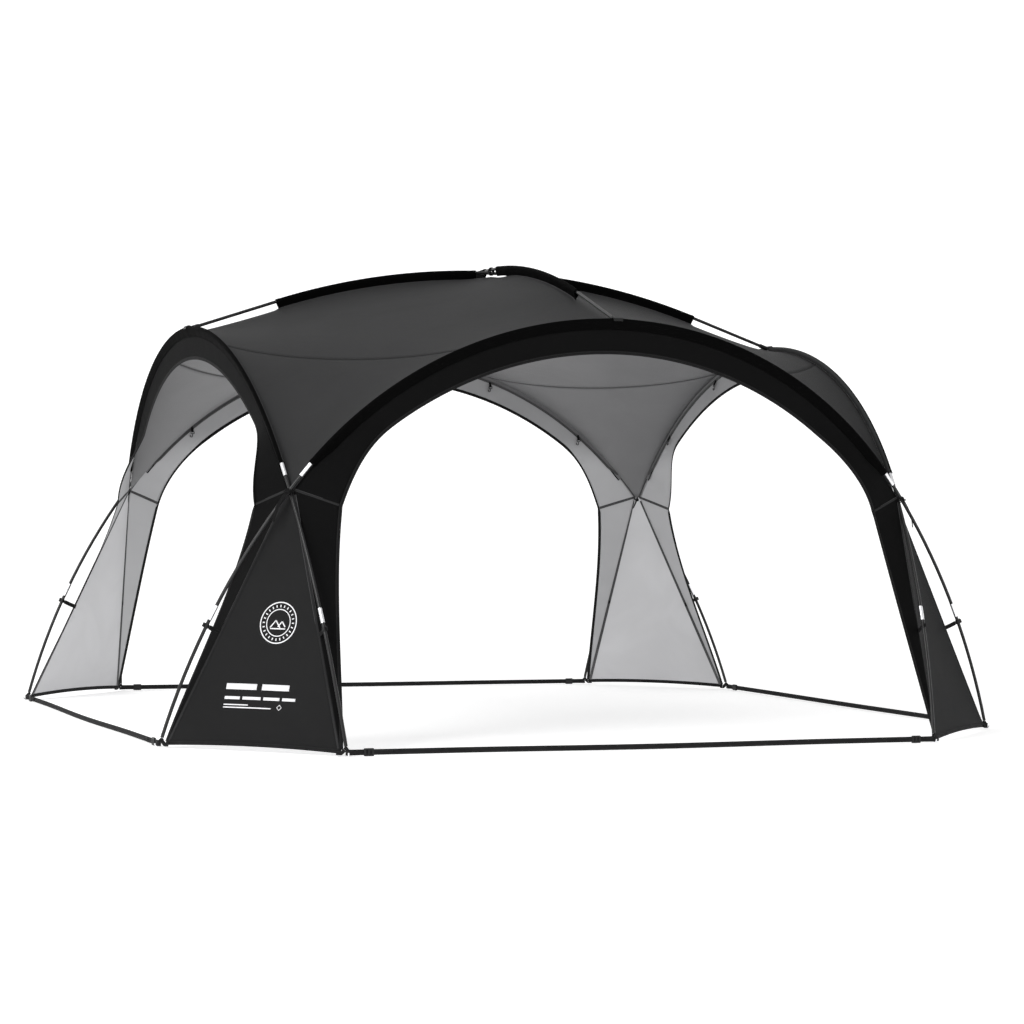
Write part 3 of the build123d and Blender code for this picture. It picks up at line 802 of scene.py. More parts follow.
@dataclass
class DoorCloth:
    """One arch's valance with its two leg wings."""

    lines: FrameLines
    outside: bpy.types.Material
    inside: bpy.types.Material
    drop: float = 0.146
    bend_radius: float = 1.800
    bend_sweep: float = math.radians(38.0)
    half_width: float = 1.343
    shoulder: float = 1.090
    flare: float = 0.11
    flare_from: float = 0.70
    depth: float = 0.0015
    tip_back: float = 0.022
    wing_end: float = 0.985
    wing_curve: float = 0.30
    thickness: float = 0.0009
    across: int = 10

    def door_edge(self, share: float) -> tuple[float, float]:
        """Point of the door edge in the arch's plane, from -1 to 1 along the door."""
        end = 1 if share >= 0 else -1
        bend_s = self.bend_radius * math.sin(self.bend_sweep)
        bend_t = self.lines.slant - self.drop - self.bend_radius * (1 - math.cos(self.bend_sweep))
        aside, down = self.half_width - bend_s, bend_t - self.shoulder
        chord = math.hypot(aside, down)
        pull = down * math.cos(self.bend_sweep) - aside * math.sin(self.bend_sweep)
        radius, sweep = chord ** 2 / (2 * pull), 2 * math.asin(pull / chord)
        first = self.bend_radius * self.bend_sweep
        run = abs(share) * (first + radius * sweep)
        if run <= first:
            angle = run / self.bend_radius
            top = self.lines.slant - self.drop - self.bend_radius
            return end * self.bend_radius * math.sin(angle), top + self.bend_radius * math.cos(angle)
        angle = self.bend_sweep + (run - first) / radius
        s = bend_s + radius * (math.sin(angle) - math.sin(self.bend_sweep))
        return end * s, bend_t + radius * (math.cos(angle) - math.cos(self.bend_sweep))

    def valance_point(self, side: int, share: float, v: float) -> Vector:
        """Point of the valance: share along the arch from -1 to 1, v from the pole to the door edge."""
        tip = self.lines.crossing - self.tip_back
        outer = self.lines.spot(share * tip, self.lines.edge_inset(share * tip))
        inner = self.door_edge(share)
        past = max(0.0, (abs(share) - self.flare_from) / (1 - self.flare_from))
        depth = self.depth - self.flare * v * past * past * (3 - 2 * past)
        s, t = (first + (second - first) * v for first, second in zip(outer, inner))
        return self.lines.place(side, s, t, depth)

    def wing_point(self, side: int, end: int, u: float, v: float) -> Vector:
        """Point of a wing: u from the crossing seam down to the foot, v from the fold to the door edge."""
        corner = self.lines.leg_corner(side + end, -end)
        fold = self.valance_point(side, end, 0.0).lerp(corner, u)
        seam = self.valance_point(side, end, v)
        width = (seam - self.valance_point(side, end, 0.0)) * (1 - u)
        shoulder = self.valance_point(side, end, 1.0)
        fall = corner - shoulder
        start = (shoulder - self.valance_point(side, end * 0.99, 1.0)).normalized() * fall.length
        return fold + width + (start - fall) * (self.wing_curve * v * u * (1 - u) ** 2)

    def edge_path(self, side: int) -> tuple[list[Vector], list[Vector]]:
        """Points and outward normals of the whole door edge, from one foot round to the other."""
        outward = self.lines.axes(side)[3]
        path, normals = [], []
        for u in even(self.wing_end, 0.0, 0.025)[:-1]:
            path.append(self.wing_point(side, -1, u, 1))
            normals.append(self.wing_normal(side, -1, u))
        for share in even(-1.0, 1.0, 0.012):
            path.append(self.valance_point(side, share, 1))
            normals.append(outward)
        for u in even(0.0, self.wing_end, 0.025)[1:]:
            path.append(self.wing_point(side, 1, u, 1))
            normals.append(self.wing_normal(side, 1, u))
        return path, normals

    def wing_normal(self, side: int, end: int, u: float) -> Vector:
        """Outward normal of a wing at its door edge."""
        step = 0.01
        down = self.wing_point(side, end, u + step, 0.5) - self.wing_point(side, end, u, 0.5)
        across = self.wing_point(side, end, min(u, 0.9), 1) - self.wing_point(side, end, min(u, 0.9), 0)
        normal = down.cross(across).normalized()
        return normal if normal.dot(self.lines.axes(side)[0]) > 0 else -normal

    def build(self, side: int) -> bpy.types.Object:
        """Make the cloth of one door."""
        bm = bmesh.new()
        mapped_grid(bm, 150, self.across, lambda u, v: self.valance_point(side, 2 * u - 1, v))
        for end in (-1, 1):
            mapped_grid(bm, 44, self.across,
                        lambda u, v, end=end: self.wing_point(side, end, u * self.wing_end, v))
        bmesh.ops.remove_doubles(bm, verts=bm.verts, dist=2e-4)
        outward = self.lines.axes(side)[0].normalized()
        face_towards(bm, lambda at: outward)
        flat_uv(bm, self.lines.axes(side)[1], UP)
        area = sum(face.calc_area() for face in bm.faces)
        piece = finish_mesh(bm, f"{SIDES[side]}_valance_cloth", (self.outside, self.inside))
        thicken(piece, self.thickness)
        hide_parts(f"{SIDES[side]}_valance")
        return piece


@dataclass
class LegCloth:
    """Leg panel between the two poles of a corner."""

    lines: FrameLines
    door: DoorCloth
    outside: bpy.types.Material
    inside: bpy.types.Material
    hem_rise: float = 0.012
    belly: float = 0.010
    thickness: float = 0.0009
    columns: int = 60
    rows: int = 28

    def point(self, corner: int, u: float, v: float) -> Vector:
        """Point of the panel: u from the crossing to the ground, v across from the near arch's side."""
        near, far = corner, corner - 1
        top_near = self.door.valance_point(near % 4, -1, 0.0)
        top_far = self.door.valance_point(far % 4, 1, 0.0)
        left = top_near.lerp(self.lines.leg_corner(far, 1), u)
        right = top_far.lerp(self.lines.leg_corner(near, -1), u)
        spot = left.lerp(right, v)
        inward = Vector((-spot.x, -spot.y, 0)).normalized()
        arch = 4 * v * (1 - v)
        return spot + inward * self.belly * arch * math.sin(math.pi * u) + UP * self.hem_rise * arch * u ** 6

    def normal(self, corner: int) -> Vector:
        """Outward normal of the panel's plane."""
        a, b, c = self.point(corner, 0.02, 0.5), self.point(corner, 1, 0), self.point(corner, 1, 1)
        normal = (b - a).cross(c - a).normalized()
        return normal if normal.dot(Vector((b.x, b.y, 0))) > 0 else -normal

    def build(self, corner: int) -> bpy.types.Object:
        """Make one leg panel."""
        bm = bmesh.new()
        mapped_grid(bm, self.columns, self.rows, lambda u, v: self.point(corner, u, v))
        normal = self.normal(corner)
        face_towards(bm, lambda at: normal)
        flat_uv(bm, UP.cross(normal).normalized(), UP)
        area = sum(face.calc_area() for face in bm.faces)
        piece = finish_mesh(bm, f"{CORNERS[corner]}_leg_cloth", (self.outside, self.inside))
        thicken(piece, self.thickness)
        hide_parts(f"{CORNERS[corner]}_leg_panel")
        return piece


# ------------------------------------------------------------- sleeves and trim
@dataclass
class PoleSleeve:
    """Cloth channel round a pole, drawn to a flat fin where it is sewn to the canopy."""

    lines: FrameLines
    cloth: bpy.types.Material
    back: bpy.types.Material
    under: bpy.types.Material
    back_reach: float = 0.0165
    radius: float = 0.0118
    saddle_radius: float = 0.0146
    saddle_half: float = 0.045
    fin: float = 0.039
    fin_half: float = 0.0014
    pucker: float = 0.0009
    hem: float = 0.016
    hem_rise: float = 0.0010
    wall: float = 0.0008
    around: int = 24
    step: float = 0.012

    def section(self, length: float, saddle_at: float | None) -> Callable[[float, float], tuple]:
        """Teardrop section of a channel of a given length.

        Args:
            length: length of the whole channel.
            saddle_at: run at which the channel widens under a crown socket, if it does.

        Returns:
            The section for a share of a turn and a run.
        """
        def at(v: float, run: float) -> tuple:
            """Offsets across the channel and away from its fin."""
            radius = self.radius
            if saddle_at is not None:
                swell = math.exp(-((run - saddle_at) / self.saddle_half) ** 2)
                radius += (self.saddle_radius - radius) * swell
            if min(run, length - run) < self.hem:
                radius += self.hem_rise
            wave = math.sin(run * 61.0) + 0.7 * math.sin(run * 143.0 + 1.3)
            wave += 0.5 * noise.noise((run * 19.0, v * 3.0, 0.4))
            turn = 2 * math.pi * v - math.pi / 2
            top = math.sin(turn)
            if top > -0.35:
                swell = radius + self.pucker * 0.4 * wave * max(0.0, 0.6 - top)
                return swell * math.cos(turn), swell * top
            fall = (-top - 0.35) / 0.65
            reach = radius * 0.35 + (self.fin - radius * 0.35) * fall ** 0.8
            half = radius * 0.937 * (1 - fall) ** 1.6 + self.fin_half * min(1.0, 3 * (1 - fall))
            ripple = self.pucker * wave * fall * (1 - 0.5 * fall)
            return math.copysign(half, math.cos(turn)) + ripple, -reach

        return at

    def channel(self, bm: bmesh.types.BMesh, path: list[Vector], normals: list[Vector],
                saddled: bool) -> None:
        """Add one open channel."""
        length = sum((second - first).length for first, second in zip(path, path[1:]))
        section = self.section(length, length / 2 if saddled else None)
        sweep_section(bm, path, normals, section, self.around, closed=False)

    def face_back(self, bm: bmesh.types.BMesh, path: list[Vector], outward: Vector) -> None:
        """Give the side under the canopy the canopy's own finishes, outside first and lining below."""
        layer = bm.loops.layers.uv.verify()
        bm.normal_update()
        length = sum((second - first).length for first, second in zip(path, path[1:]))
        for face in bm.faces:
            share = min(1.0, max(0.0, face.loops[0][layer].uv.x / length))
            reach = (face.calc_center_median() - path[round(share * (len(path) - 1))]).length
            if face.normal.dot(outward) < -0.3 and reach < self.fin - 0.005:
                face.material_index = 1 if reach < self.back_reach else 2

    def finish(self, bm: bmesh.types.BMesh, name: str, node: str) -> bpy.types.Object:
        """Turn the channels of one node into a cloth piece."""
        area = sum(face.calc_area() for face in bm.faces)
        piece = finish_mesh(bm, name, (self.cloth, self.back, self.under))
        thicken(piece, self.wall, two_faced=False)
        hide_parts(node)
        return piece

    def arch(self, side: int) -> bpy.types.Object:
        """Channel over the top of one arch."""
        bm = bmesh.new()
        path, normals = [], []
        for run in even(-self.lines.sleeve_end, self.lines.sleeve_end, self.step):
            middle = self.lines.point(side, run)
            path.append(middle)
            normals.append((middle - self.lines.point(side, run, 0.02)).normalized())
        self.channel(bm, path, normals, saddled=True)
        self.face_back(bm, path, self.lines.axes(side)[3])
        return self.finish(bm, f"{SIDES[side]}_arch_channel", f"{SIDES[side]}_arch_sleeve")

    def roof(self, pair: int) -> bpy.types.Object:
        """Both channels along one roof pole."""
        bm = bmesh.new()
        for side in (pair, pair + 2):
            stops = even(self.lines.roof_sleeve_start, self.lines.roof_sleeve_end, self.step)
            path = [self.lines.roof_point(side, out) for out in stops]
            normals = [spot - self.lines.roof_point(side, out, 0.02) for spot, out in zip(path, stops)]
            self.channel(bm, path, normals, saddled=False)
        name = ("front_back", "left_right")[pair]
        return self.finish(bm, f"{name}_roof_channel", f"{name}_roof_sleeve")


@dataclass
class Trims:
    """Bindings, seams and tapes sewn along the canopy's edges and joins."""

    lines: FrameLines
    roof: RoofCloth
    door: DoorCloth
    leg: LegCloth
    binding: bpy.types.Material
    tape: bpy.types.Material
    seam: bpy.types.Material
    cloth: float = 0.0009

    def band(self, bm: bmesh.types.BMesh, path: Sequence[Vector], normals: Sequence[Vector],
             half_width: float, half_height: float, face: Face, lift: float = 0.0) -> None:
        """Add a flat band that lies on one face of a cloth.

        Args:
            bm: mesh that takes the band.
            path: points of the cloth's outer face.
            normals: outward normals of the cloth.
            half_width: half of the band's width.
            half_height: half of its thickness.
            face: face of the cloth that it lies on.
            lift: further distance off that face.
        """
        shift = half_height * 0.6 + lift if face is Face.OUTSIDE else -self.cloth - half_height * 0.6 - lift
        spots = [point + normal.normalized() * shift for point, normal in zip(path, normals)]
        sweep_section(bm, spots, normals, flat_section(half_width, half_height), 12)

    def door_binding(self, side: int) -> bpy.types.Object:
        """Bound edge of a door, over both faces of the cloth."""
        bm = bmesh.new()
        path, normals = self.door.edge_path(side)
        inner = [point - normal * self.cloth / 2 for point, normal in zip(path, normals)]
        sweep_section(bm, inner, normals, flat_section(0.0085, 0.0017), 12)
        return finish_mesh(bm, f"{SIDES[side]}_door_binding", (self.binding,))

    def arch_tape(self, side: int) -> bpy.types.Object:
        """Tape inside the join of valance, roof and channel."""
        bm = bmesh.new()
        tip = self.lines.crossing - self.door.tip_back
        path, normals = [], []
        for run in even(-tip, tip, 0.025):
            path.append(self.lines.point(side, run, self.lines.edge_inset(run) + 0.002, 0.0045))
            normals.append(self.lines.axes(side)[3] + UP * 0.6)
        self.band(bm, path, normals, 0.0065, 0.0008, Face.INSIDE)
        return finish_mesh(bm, f"{SIDES[side]}_arch_tape", (self.tape,))

    def shoulder_seams(self, side: int) -> list[bpy.types.Object]:
        """Cross seam of a door's cloth at each crossing, on both faces."""
        pieces = []
        for face, material in ((Face.OUTSIDE, self.seam), (Face.INSIDE, self.tape)):
            bm = bmesh.new()
            for end in (-1, 1):
                path = [self.door.valance_point(side, end, v) for v in even(0.01, 0.985, 0.08)]
                normals = [self.lines.axes(side)[3]] * len(path)
                self.band(bm, path, normals, 0.006 if face is Face.OUTSIDE else 0.0075, 0.0008, face)
            name = f"{SIDES[side]}_shoulder_seam_{face.name.lower()}"
            pieces.append(finish_mesh(bm, name, (material,)))
        return pieces

    def fold_seams(self, corner: int) -> list[bpy.types.Object]:
        """Seams between a leg panel and its two wings, on both faces."""
        pieces = []
        outward = self.leg.normal(corner)
        for face, material in ((Face.OUTSIDE, self.seam), (Face.INSIDE, self.tape)):
            bm = bmesh.new()
            for v in (0.0, 1.0):
                inner = 0.012 if v == 0.0 else -0.012
                path = [self.leg.point(corner, u, v + inner) for u in even(0.02, 0.985, 0.03)]
                half_width = 0.0055 if face is Face.OUTSIDE else 0.008
                self.band(bm, path, [outward] * len(path), half_width, 0.0008, face)
            name = f"{CORNERS[corner]}_fold_seam_{face.name.lower()}"
            pieces.append(finish_mesh(bm, name, (material,)))
        return pieces

    def leg_hem(self, corner: int) -> bpy.types.Object:
        """Bound bottom hem of a leg panel."""
        bm = bmesh.new()
        outward = self.leg.normal(corner)
        path = [self.leg.point(corner, 0.992, v) - outward * self.cloth / 2 for v in even(0.0, 1.0, 0.03)]
        sweep_section(bm, path, [outward] * len(path), flat_section(0.0105, 0.0018), 12)
        return finish_mesh(bm, f"{CORNERS[corner]}_leg_hem", (self.binding,))

    def crown_seams(self) -> list[bpy.types.Object]:
        """Seam round the crown panel, on both faces."""
        pieces = []
        for face, material in ((Face.OUTSIDE, self.seam), (Face.INSIDE, self.tape)):
            bm = bmesh.new()
            for corner in range(4):
                spots = self.roof.seam_lines["seam", corner]
                path, normals = zip(*spots)
                self.band(bm, path, normals, 0.006, 0.0007, face)
            pieces.append(finish_mesh(bm, f"crown_seam_{face.name.lower()}", (material,)))
        return pieces

    def ridge_tapes(self) -> bpy.types.Object:
        """Tapes under the four ridges."""
        bm = bmesh.new()
        for corner in range(4):
            spots = self.roof.seam_lines["ridge", corner]
            path = [spot for spot, _ in spots]
            self.band(bm, path, [UP] * len(path), 0.0065, 0.0008, Face.INSIDE, 0.0006)
        return finish_mesh(bm, "ridge_tapes", (self.tape,))

    def build(self) -> None:
        """Sew every trim."""
        for side in range(4):
            self.door_binding(side)
            self.arch_tape(side)
            self.shoulder_seams(side)
        for corner in range(4):
            self.fold_seams(corner)
            self.leg_hem(corner)
        self.crown_seams()
        self.ridge_tapes()


# --------------------------------------------------------- straps, tabs and ties
@dataclass
class GroundWebbing:
    """Ground straps on edge with ends folded round the foot pins, buckle tails and corner tails."""

    lines: FrameLines
    leg: LegCloth
    webbing: bpy.types.Material
    half_width: float = 0.0125
    half_thick: float = 0.0010
    layer: float = 0.0022
    wrap: float = 0.0085
    fold_back: float = 0.048
    bow: float = 0.010
    droop: float = 0.003
    straight: float = 0.46
    tail_reach: float = 0.105
    tail_half: float = 0.009
    tail_pin: float = 0.034
    buckle_from_foot: float = 0.096

    def ends(self, side: int) -> tuple[Vector, Vector]:
        """Feet that a side's strap joins, at strap height."""
        level = UP * self.lines.strap_level
        return self.lines.foot(side - 1, 1) + level, self.lines.foot(side + 1, -1) + level

    def fold(self, foot: Vector, inward: Vector, out: Vector) -> tuple[list[Vector], list[Vector]]:
        """Points and normals from a strap's folded end, round the pin and on to the single strap."""
        layout = [(self.fold_back, self.layer), (0.034, self.layer), (0.022, 1.4 * self.layer)]
        layout += [(self.wrap * math.cos(math.radians(a)), self.wrap * math.sin(math.radians(a)))
                   for a in range(60, 301, 30)]
        layout += [(0.022, -0.6 * self.layer), (0.034, 0.0)]
        path = [foot + inward * along + out * aside for along, aside in layout]
        ways = [out] * 3
        turns = [math.radians(degrees) for degrees in range(60, 301, 30)]
        ways += [inward * math.cos(turn) + out * math.sin(turn) for turn in turns]
        return path, ways + [-out, -out]

    def strap(self, side: int) -> bpy.types.Object:
        """One strap: fold, wrap round a pin, run to the other pin, wrap and fold."""
        start, stop = self.ends(side)
        along = (stop - start).normalized()
        out = self.lines.axes(side)[0].normalized()
        span = (stop - start).length
        path, normals = self.fold(start, along, out)
        for run in even(self.fold_back, span - self.fold_back, 0.04):
            share = min(1.0, max(0.0, (run - self.straight) / (span - 2 * self.straight)))
            slack = math.sin(math.pi * share) ** 2
            path.append(start + along * run + out * self.bow * slack - UP * self.droop * slack)
            normals.append(-out)
        last, ways = self.fold(stop, -along, out)
        path += reversed(last)
        normals += reversed(ways)
        bm = bmesh.new()
        sweep_section(bm, path, normals, flat_section(self.half_width, self.half_thick), 12)
        return finish_mesh(bm, f"{SIDES[side]}_ground_strap", (self.webbing,))

    def buckle_tail(self, side: int, label: str) -> bpy.types.Object:
        """Loose end of a strap that comes out of its buckle, lies along the strap and is hemmed."""
        start, stop = self.ends(side)
        along = (stop - start).normalized() if label == "start" else (start - stop).normalized()
        foot = start if label == "start" else stop
        out = self.lines.axes(side)[0].normalized()
        path, normals = [], []
        for reach in even(0.0, self.tail_reach, 0.007):
            climb = min(1.0, reach / 0.02)
            path.append(foot + along * (self.buckle_from_foot + reach) + out * 0.0026 * climb)
            normals.append(out)
        turn = path[-1] + out * 0.0011
        for step in range(1, 5):
            angle = math.pi * step / 4
            way = along * math.sin(angle) - out * math.cos(angle)
            path.append(turn + way * 0.0011)
            normals.append(-way)
        for reach in even(0.006, 0.018, 0.006):
            path.append(turn - along * reach + out * 0.0011)
            normals.append(-out)
        bm = bmesh.new()
        sweep_section(bm, path, normals, flat_section(0.0119, 0.0009), 12)
        name = f"{SIDES[side]}_strap_buckle_{label}"
        piece = finish_mesh(bm, f"{name}_tail", (self.webbing,))
        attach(piece, name)
        return piece

    def tails(self) -> bpy.types.Object:
        """Webbing tails from the leg panels' corners to the pins, each sewn up the cloth."""
        bm = bmesh.new()
        for side in range(4):
            for end in (-1, 1):
                corner = self.lines.leg_corner(side, end)
                outward = self.leg.normal(side if end < 0 else (side + 1) % 4)
                pin = self.lines.point(side, end * (self.lines.length - self.tail_pin))
                inner = (corner - pin).normalized()
                start = pin + inner * 0.0085
                sewn = corner + inner * 0.030 + UP * 0.022
                path = [start.lerp(corner, share) + outward * 0.002 for share in even(0.0, 0.9, 0.12)]
                path += [corner.lerp(sewn, share) + outward * 0.003 for share in even(0.15, 1.0, 0.25)]
                sweep_section(bm, path, [outward] * len(path), flat_section(self.tail_half, 0.0010), 12)
                heading = outward.cross(inner).normalized()
                turns = [2 * math.pi * step / 20 for step in range(21)]
                across = heading.cross(inner).normalized()
                loop = [pin + (inner * math.cos(a) + across * math.sin(a)) * 0.0072 for a in turns]
                around = [point - pin for point in loop]
                sweep_section(bm, loop, around, flat_section(self.tail_half, 0.0010), 12, closed=False)
        piece = finish_mesh(bm, "leg_corner_tails", (self.webbing,))
        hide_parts("corner_tails")
        return piece

    def build(self) -> None:
        """Make the straps and tails."""
        straps = [self.strap(side) for side in range(4)]
        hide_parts("ground_straps")
        for side in range(4):
            for label in ("start", "end"):
                self.buckle_tail(side, label)
        self.tails()


@dataclass
class LegClips:
    """Snap clips that hold the leg panels' edges to the poles."""

    lines: FrameLines
    door: DoorCloth
    plastic: bpy.types.Material
    webbing: bpy.types.Material
    bore: float = 0.0084
    wall: float = 0.0028
    half_length: float = 0.010
    tab_half: float = 0.0105

    def spots(self) -> list[tuple[Vector, Vector, Vector]]:
        """Pole point, pole direction and way to the cloth's fold at each clip."""
        found = []
        for side in range(4):
            for end in (-1, 1):
                length = end * (self.lines.length - self.lines.clip_from_foot)
                spot, heading = self.lines.point(side, length), self.lines.tangent(side, length)
                corner = self.lines.leg_corner(side, end)
                peak = self.door.valance_point((side + end) % 4, -end, 0.0)
                edge = (corner - peak).normalized()
                reach = peak + edge * (spot - peak).dot(edge) - spot
                found.append((spot, heading, reach - heading * reach.dot(heading)))
        return found

    def build(self) -> list[bpy.types.Object]:
        """Make the clips and their sewn tabs."""
        hard, soft = bmesh.new(), bmesh.new()
        for spot, heading, reach in self.spots():
            way = reach.normalized()
            across = heading.cross(way)
            arc = [math.radians(angle) for angle in range(-148, 149, 8)]
            middle = self.bore + self.wall / 2
            ring = [spot + (way * math.cos(a) + across * math.sin(a)) * middle for a in arc]
            normals = [point - spot for point in ring]
            sweep_section(hard, ring, normals, flat_section(self.half_length, self.wall / 2), 12)
            for side_way in (-1, 1):
                lip = ring[0] if side_way < 0 else ring[-1]
                flare = (lip - spot).normalized()
                path = [lip, lip - way * 0.003 + flare * 0.002, lip - way * 0.004 + flare * 0.005]
                section = flat_section(self.half_length, self.wall / 2)
                sweep_section(hard, path, [across * side_way] * 3, section, 12)
            bar = [spot + way * (middle + share) for share in (0.0, 0.004, 0.008)]
            sweep_section(hard, bar, [across] * 3, flat_section(self.half_length * 0.8, 0.0024), 12)
            stop = reach.length + 0.012
            start = middle + 0.006
            tab = [spot + way * (start + (stop - start) * share) for share in even(0.0, 1.0, 0.1)]
            sag = [point - UP * 0.0012 * math.sin(math.pi * index / 10) for index, point in enumerate(tab)]
            sweep_section(soft, sag, [across] * len(sag), flat_section(self.tab_half, 0.0013), 12)
        sharpen(hard, math.radians(40))
        clips = finish_mesh(hard, "leg_snap_clips", (self.plastic,))
        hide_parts("leg_clips")
        return [clips, finish_mesh(soft, "leg_clip_tabs", (self.webbing,))]


@dataclass
class WallLoops:
    """Webbing loops that the wall hooks hang from, sewn inside the valances."""

    lines: FrameLines
    webbing: bpy.types.Material
    bore: float = 0.0029
    half_width: float = 0.0062
    half_thick: float = 0.0007
    rise: float = 0.030

    def build(self) -> bpy.types.Object:
        """Make all sixteen loops."""
        bm = bmesh.new()
        for side in range(4):
            for end in (-1, 1):
                for place in self.lines.hook_places:
                    self.loop(bm, side, end, place)
        piece = finish_mesh(bm, "wall_hook_loops", (self.webbing,))
        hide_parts("hook_loops")
        return piece

    def loop(self, bm: bmesh.types.BMesh, side: int, end: int, place: float) -> None:
        """Add one loop round its hook's bar."""
        low, high = 0.0, self.lines.length
        for _ in range(50):
            middle = (low + high) / 2
            if self.lines.spot(middle)[0] < place:
                low = middle
            else:
                high = middle
        slant = self.lines.spot(low)[1] - self.lines.hook_fall
        pivot = self.lines.place(side, end * place, slant, self.lines.hook_stand)
        wall_top = self.lines.place(side, end * place, slant + self.rise, 0.0035)
        inward = -self.lines.axes(side)[0].normalized()
        path = [wall_top, wall_top.lerp(pivot - inward * self.bore, 0.6)]
        for step in range(0, 9):
            angle = math.pi * (1.0 + step / 8)
            path.append(pivot + (inward * math.cos(angle) + UP * math.sin(angle)) * self.bore)
        path += [wall_top.lerp(pivot + inward * self.bore, 0.5) + inward * 0.0010, wall_top + inward * 0.0016]
        across = self.lines.axes(side)[1]
        normals = []
        for index in range(len(path)):
            ahead = path[min(index + 1, len(path) - 1)] - path[max(index - 1, 0)]
            normals.append(ahead.cross(across).normalized())
        sweep_section(bm, path, normals, flat_section(self.half_width, self.half_thick), 12)


@dataclass
class Lashings:
    """Elastic ties round the pole crossings, with a toggle and a short hanging strap."""

    lines: FrameLines
    cord: bpy.types.Material
    webbing: bpy.types.Material
    radius: float = 0.0024
    turns: int = 2

    def lash(self, bm: bmesh.types.BMesh, centre: Vector, first: Vector, second: Vector,
             poles: float) -> None:
        """Add crossed turns of cord round two crossing poles.

        Args:
            bm: mesh that takes the cord.
            centre: middle of the crossing.
            first: direction of one pole.
            second: direction of the other.
            poles: distance between the two poles' middle lines.
        """
        normal = first.cross(second).normalized()
        deep = poles / 2 + 0.008 + self.radius
        for way, other in (((first + second).normalized(), (first - second).normalized()),
                           ((first - second).normalized(), (first + second).normalized())):
            wide = 0.0085 / max(0.35, abs(first.dot(other))) + self.radius
            for turn in range(self.turns):
                shift = way * 0.0052 * (turn - (self.turns - 1) / 2)
                angles = [2 * math.pi * step / 28 for step in range(29)]
                path, normals = [], []
                for a in angles:
                    c, s = math.cos(a), math.sin(a)
                    offset = other * wide * math.copysign(abs(c) ** 0.7, c)
                    offset += normal * deep * math.copysign(abs(s) ** 0.7, s)
                    path.append(centre + shift + offset)
                    normals.append(offset)
                sweep_section(bm, path, normals, round_section(self.radius), 8, closed=False)

    def toggle(self, bm: bmesh.types.BMesh, centre: Vector, along: Vector, out: Vector) -> None:
        """Add the small bar that the elastic hooks over."""
        path = [centre + along * reach for reach in even(-0.017, 0.017, 0.0034)]
        bar = round_section(0.0042)

        def barrel(v: float, run: float) -> tuple:
            """Round section that swells towards the middle of the bar."""
            swell = 0.72 + 0.28 * math.sin(math.pi * min(1.0, run / 0.034))
            x, y = bar(v, run)
            return x * swell, y * swell

        sweep_section(bm, path, [out] * len(path), barrel, 10)

    def strap(self, bm: bmesh.types.BMesh, corner: int) -> None:
        """Add the short hanging strap beside a crossing."""
        centre = self.crossing_point(corner)
        out = Vector((centre.x, centre.y, 0)).normalized()
        down = -self.lines.tangent(corner, -self.lines.crossing)
        aside = out.cross(UP) * (-1)
        path = []
        for share in even(0.0, 1.0, 0.08):
            path.append(centre + out * (0.021 + 0.012 * math.sin(math.pi * share)) + down * 0.150 * share
                        + aside * 0.030 * share ** 1.5 - UP * 0.012 * share)
        sweep_section(bm, path, [out] * len(path), flat_section(0.0085, 0.0011), 12)

    def crossing_point(self, corner: int) -> Vector:
        """Middle of the crossing above a corner."""
        near = self.lines.point(corner, -self.lines.crossing)
        return (near + self.lines.point(corner - 1, self.lines.crossing)) / 2

    def build(self) -> list[bpy.types.Object]:
        """Tie the four crossings and the apex."""
        cords, straps = bmesh.new(), bmesh.new()
        for corner in range(4):
            centre = self.crossing_point(corner)
            first = self.lines.tangent(corner, -self.lines.crossing)
            second = -self.lines.tangent((corner - 1) % 4, self.lines.crossing)
            self.lash(cords, centre, first, second, 2 * self.lines.half_pass)
            out = Vector((centre.x, centre.y, 0)).normalized()
            self.toggle(cords, centre + out * 0.0245, (first - second).normalized(), out)
            self.strap(straps, corner)
        ties = finish_mesh(cords, "crossing_lashings", (self.cord,))
        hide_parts("crossing_ties")
        apex = bmesh.new()
        self.lash(apex, UP * self.lines.apex, Vector((1, 0, 0)), Vector((0, 1, 0)), 2 * self.lines.half_pass)
        return [ties, finish_mesh(straps, "crossing_straps", (self.webbing,)),
                finish_mesh(apex, "apex_lashing", (self.cord,))]


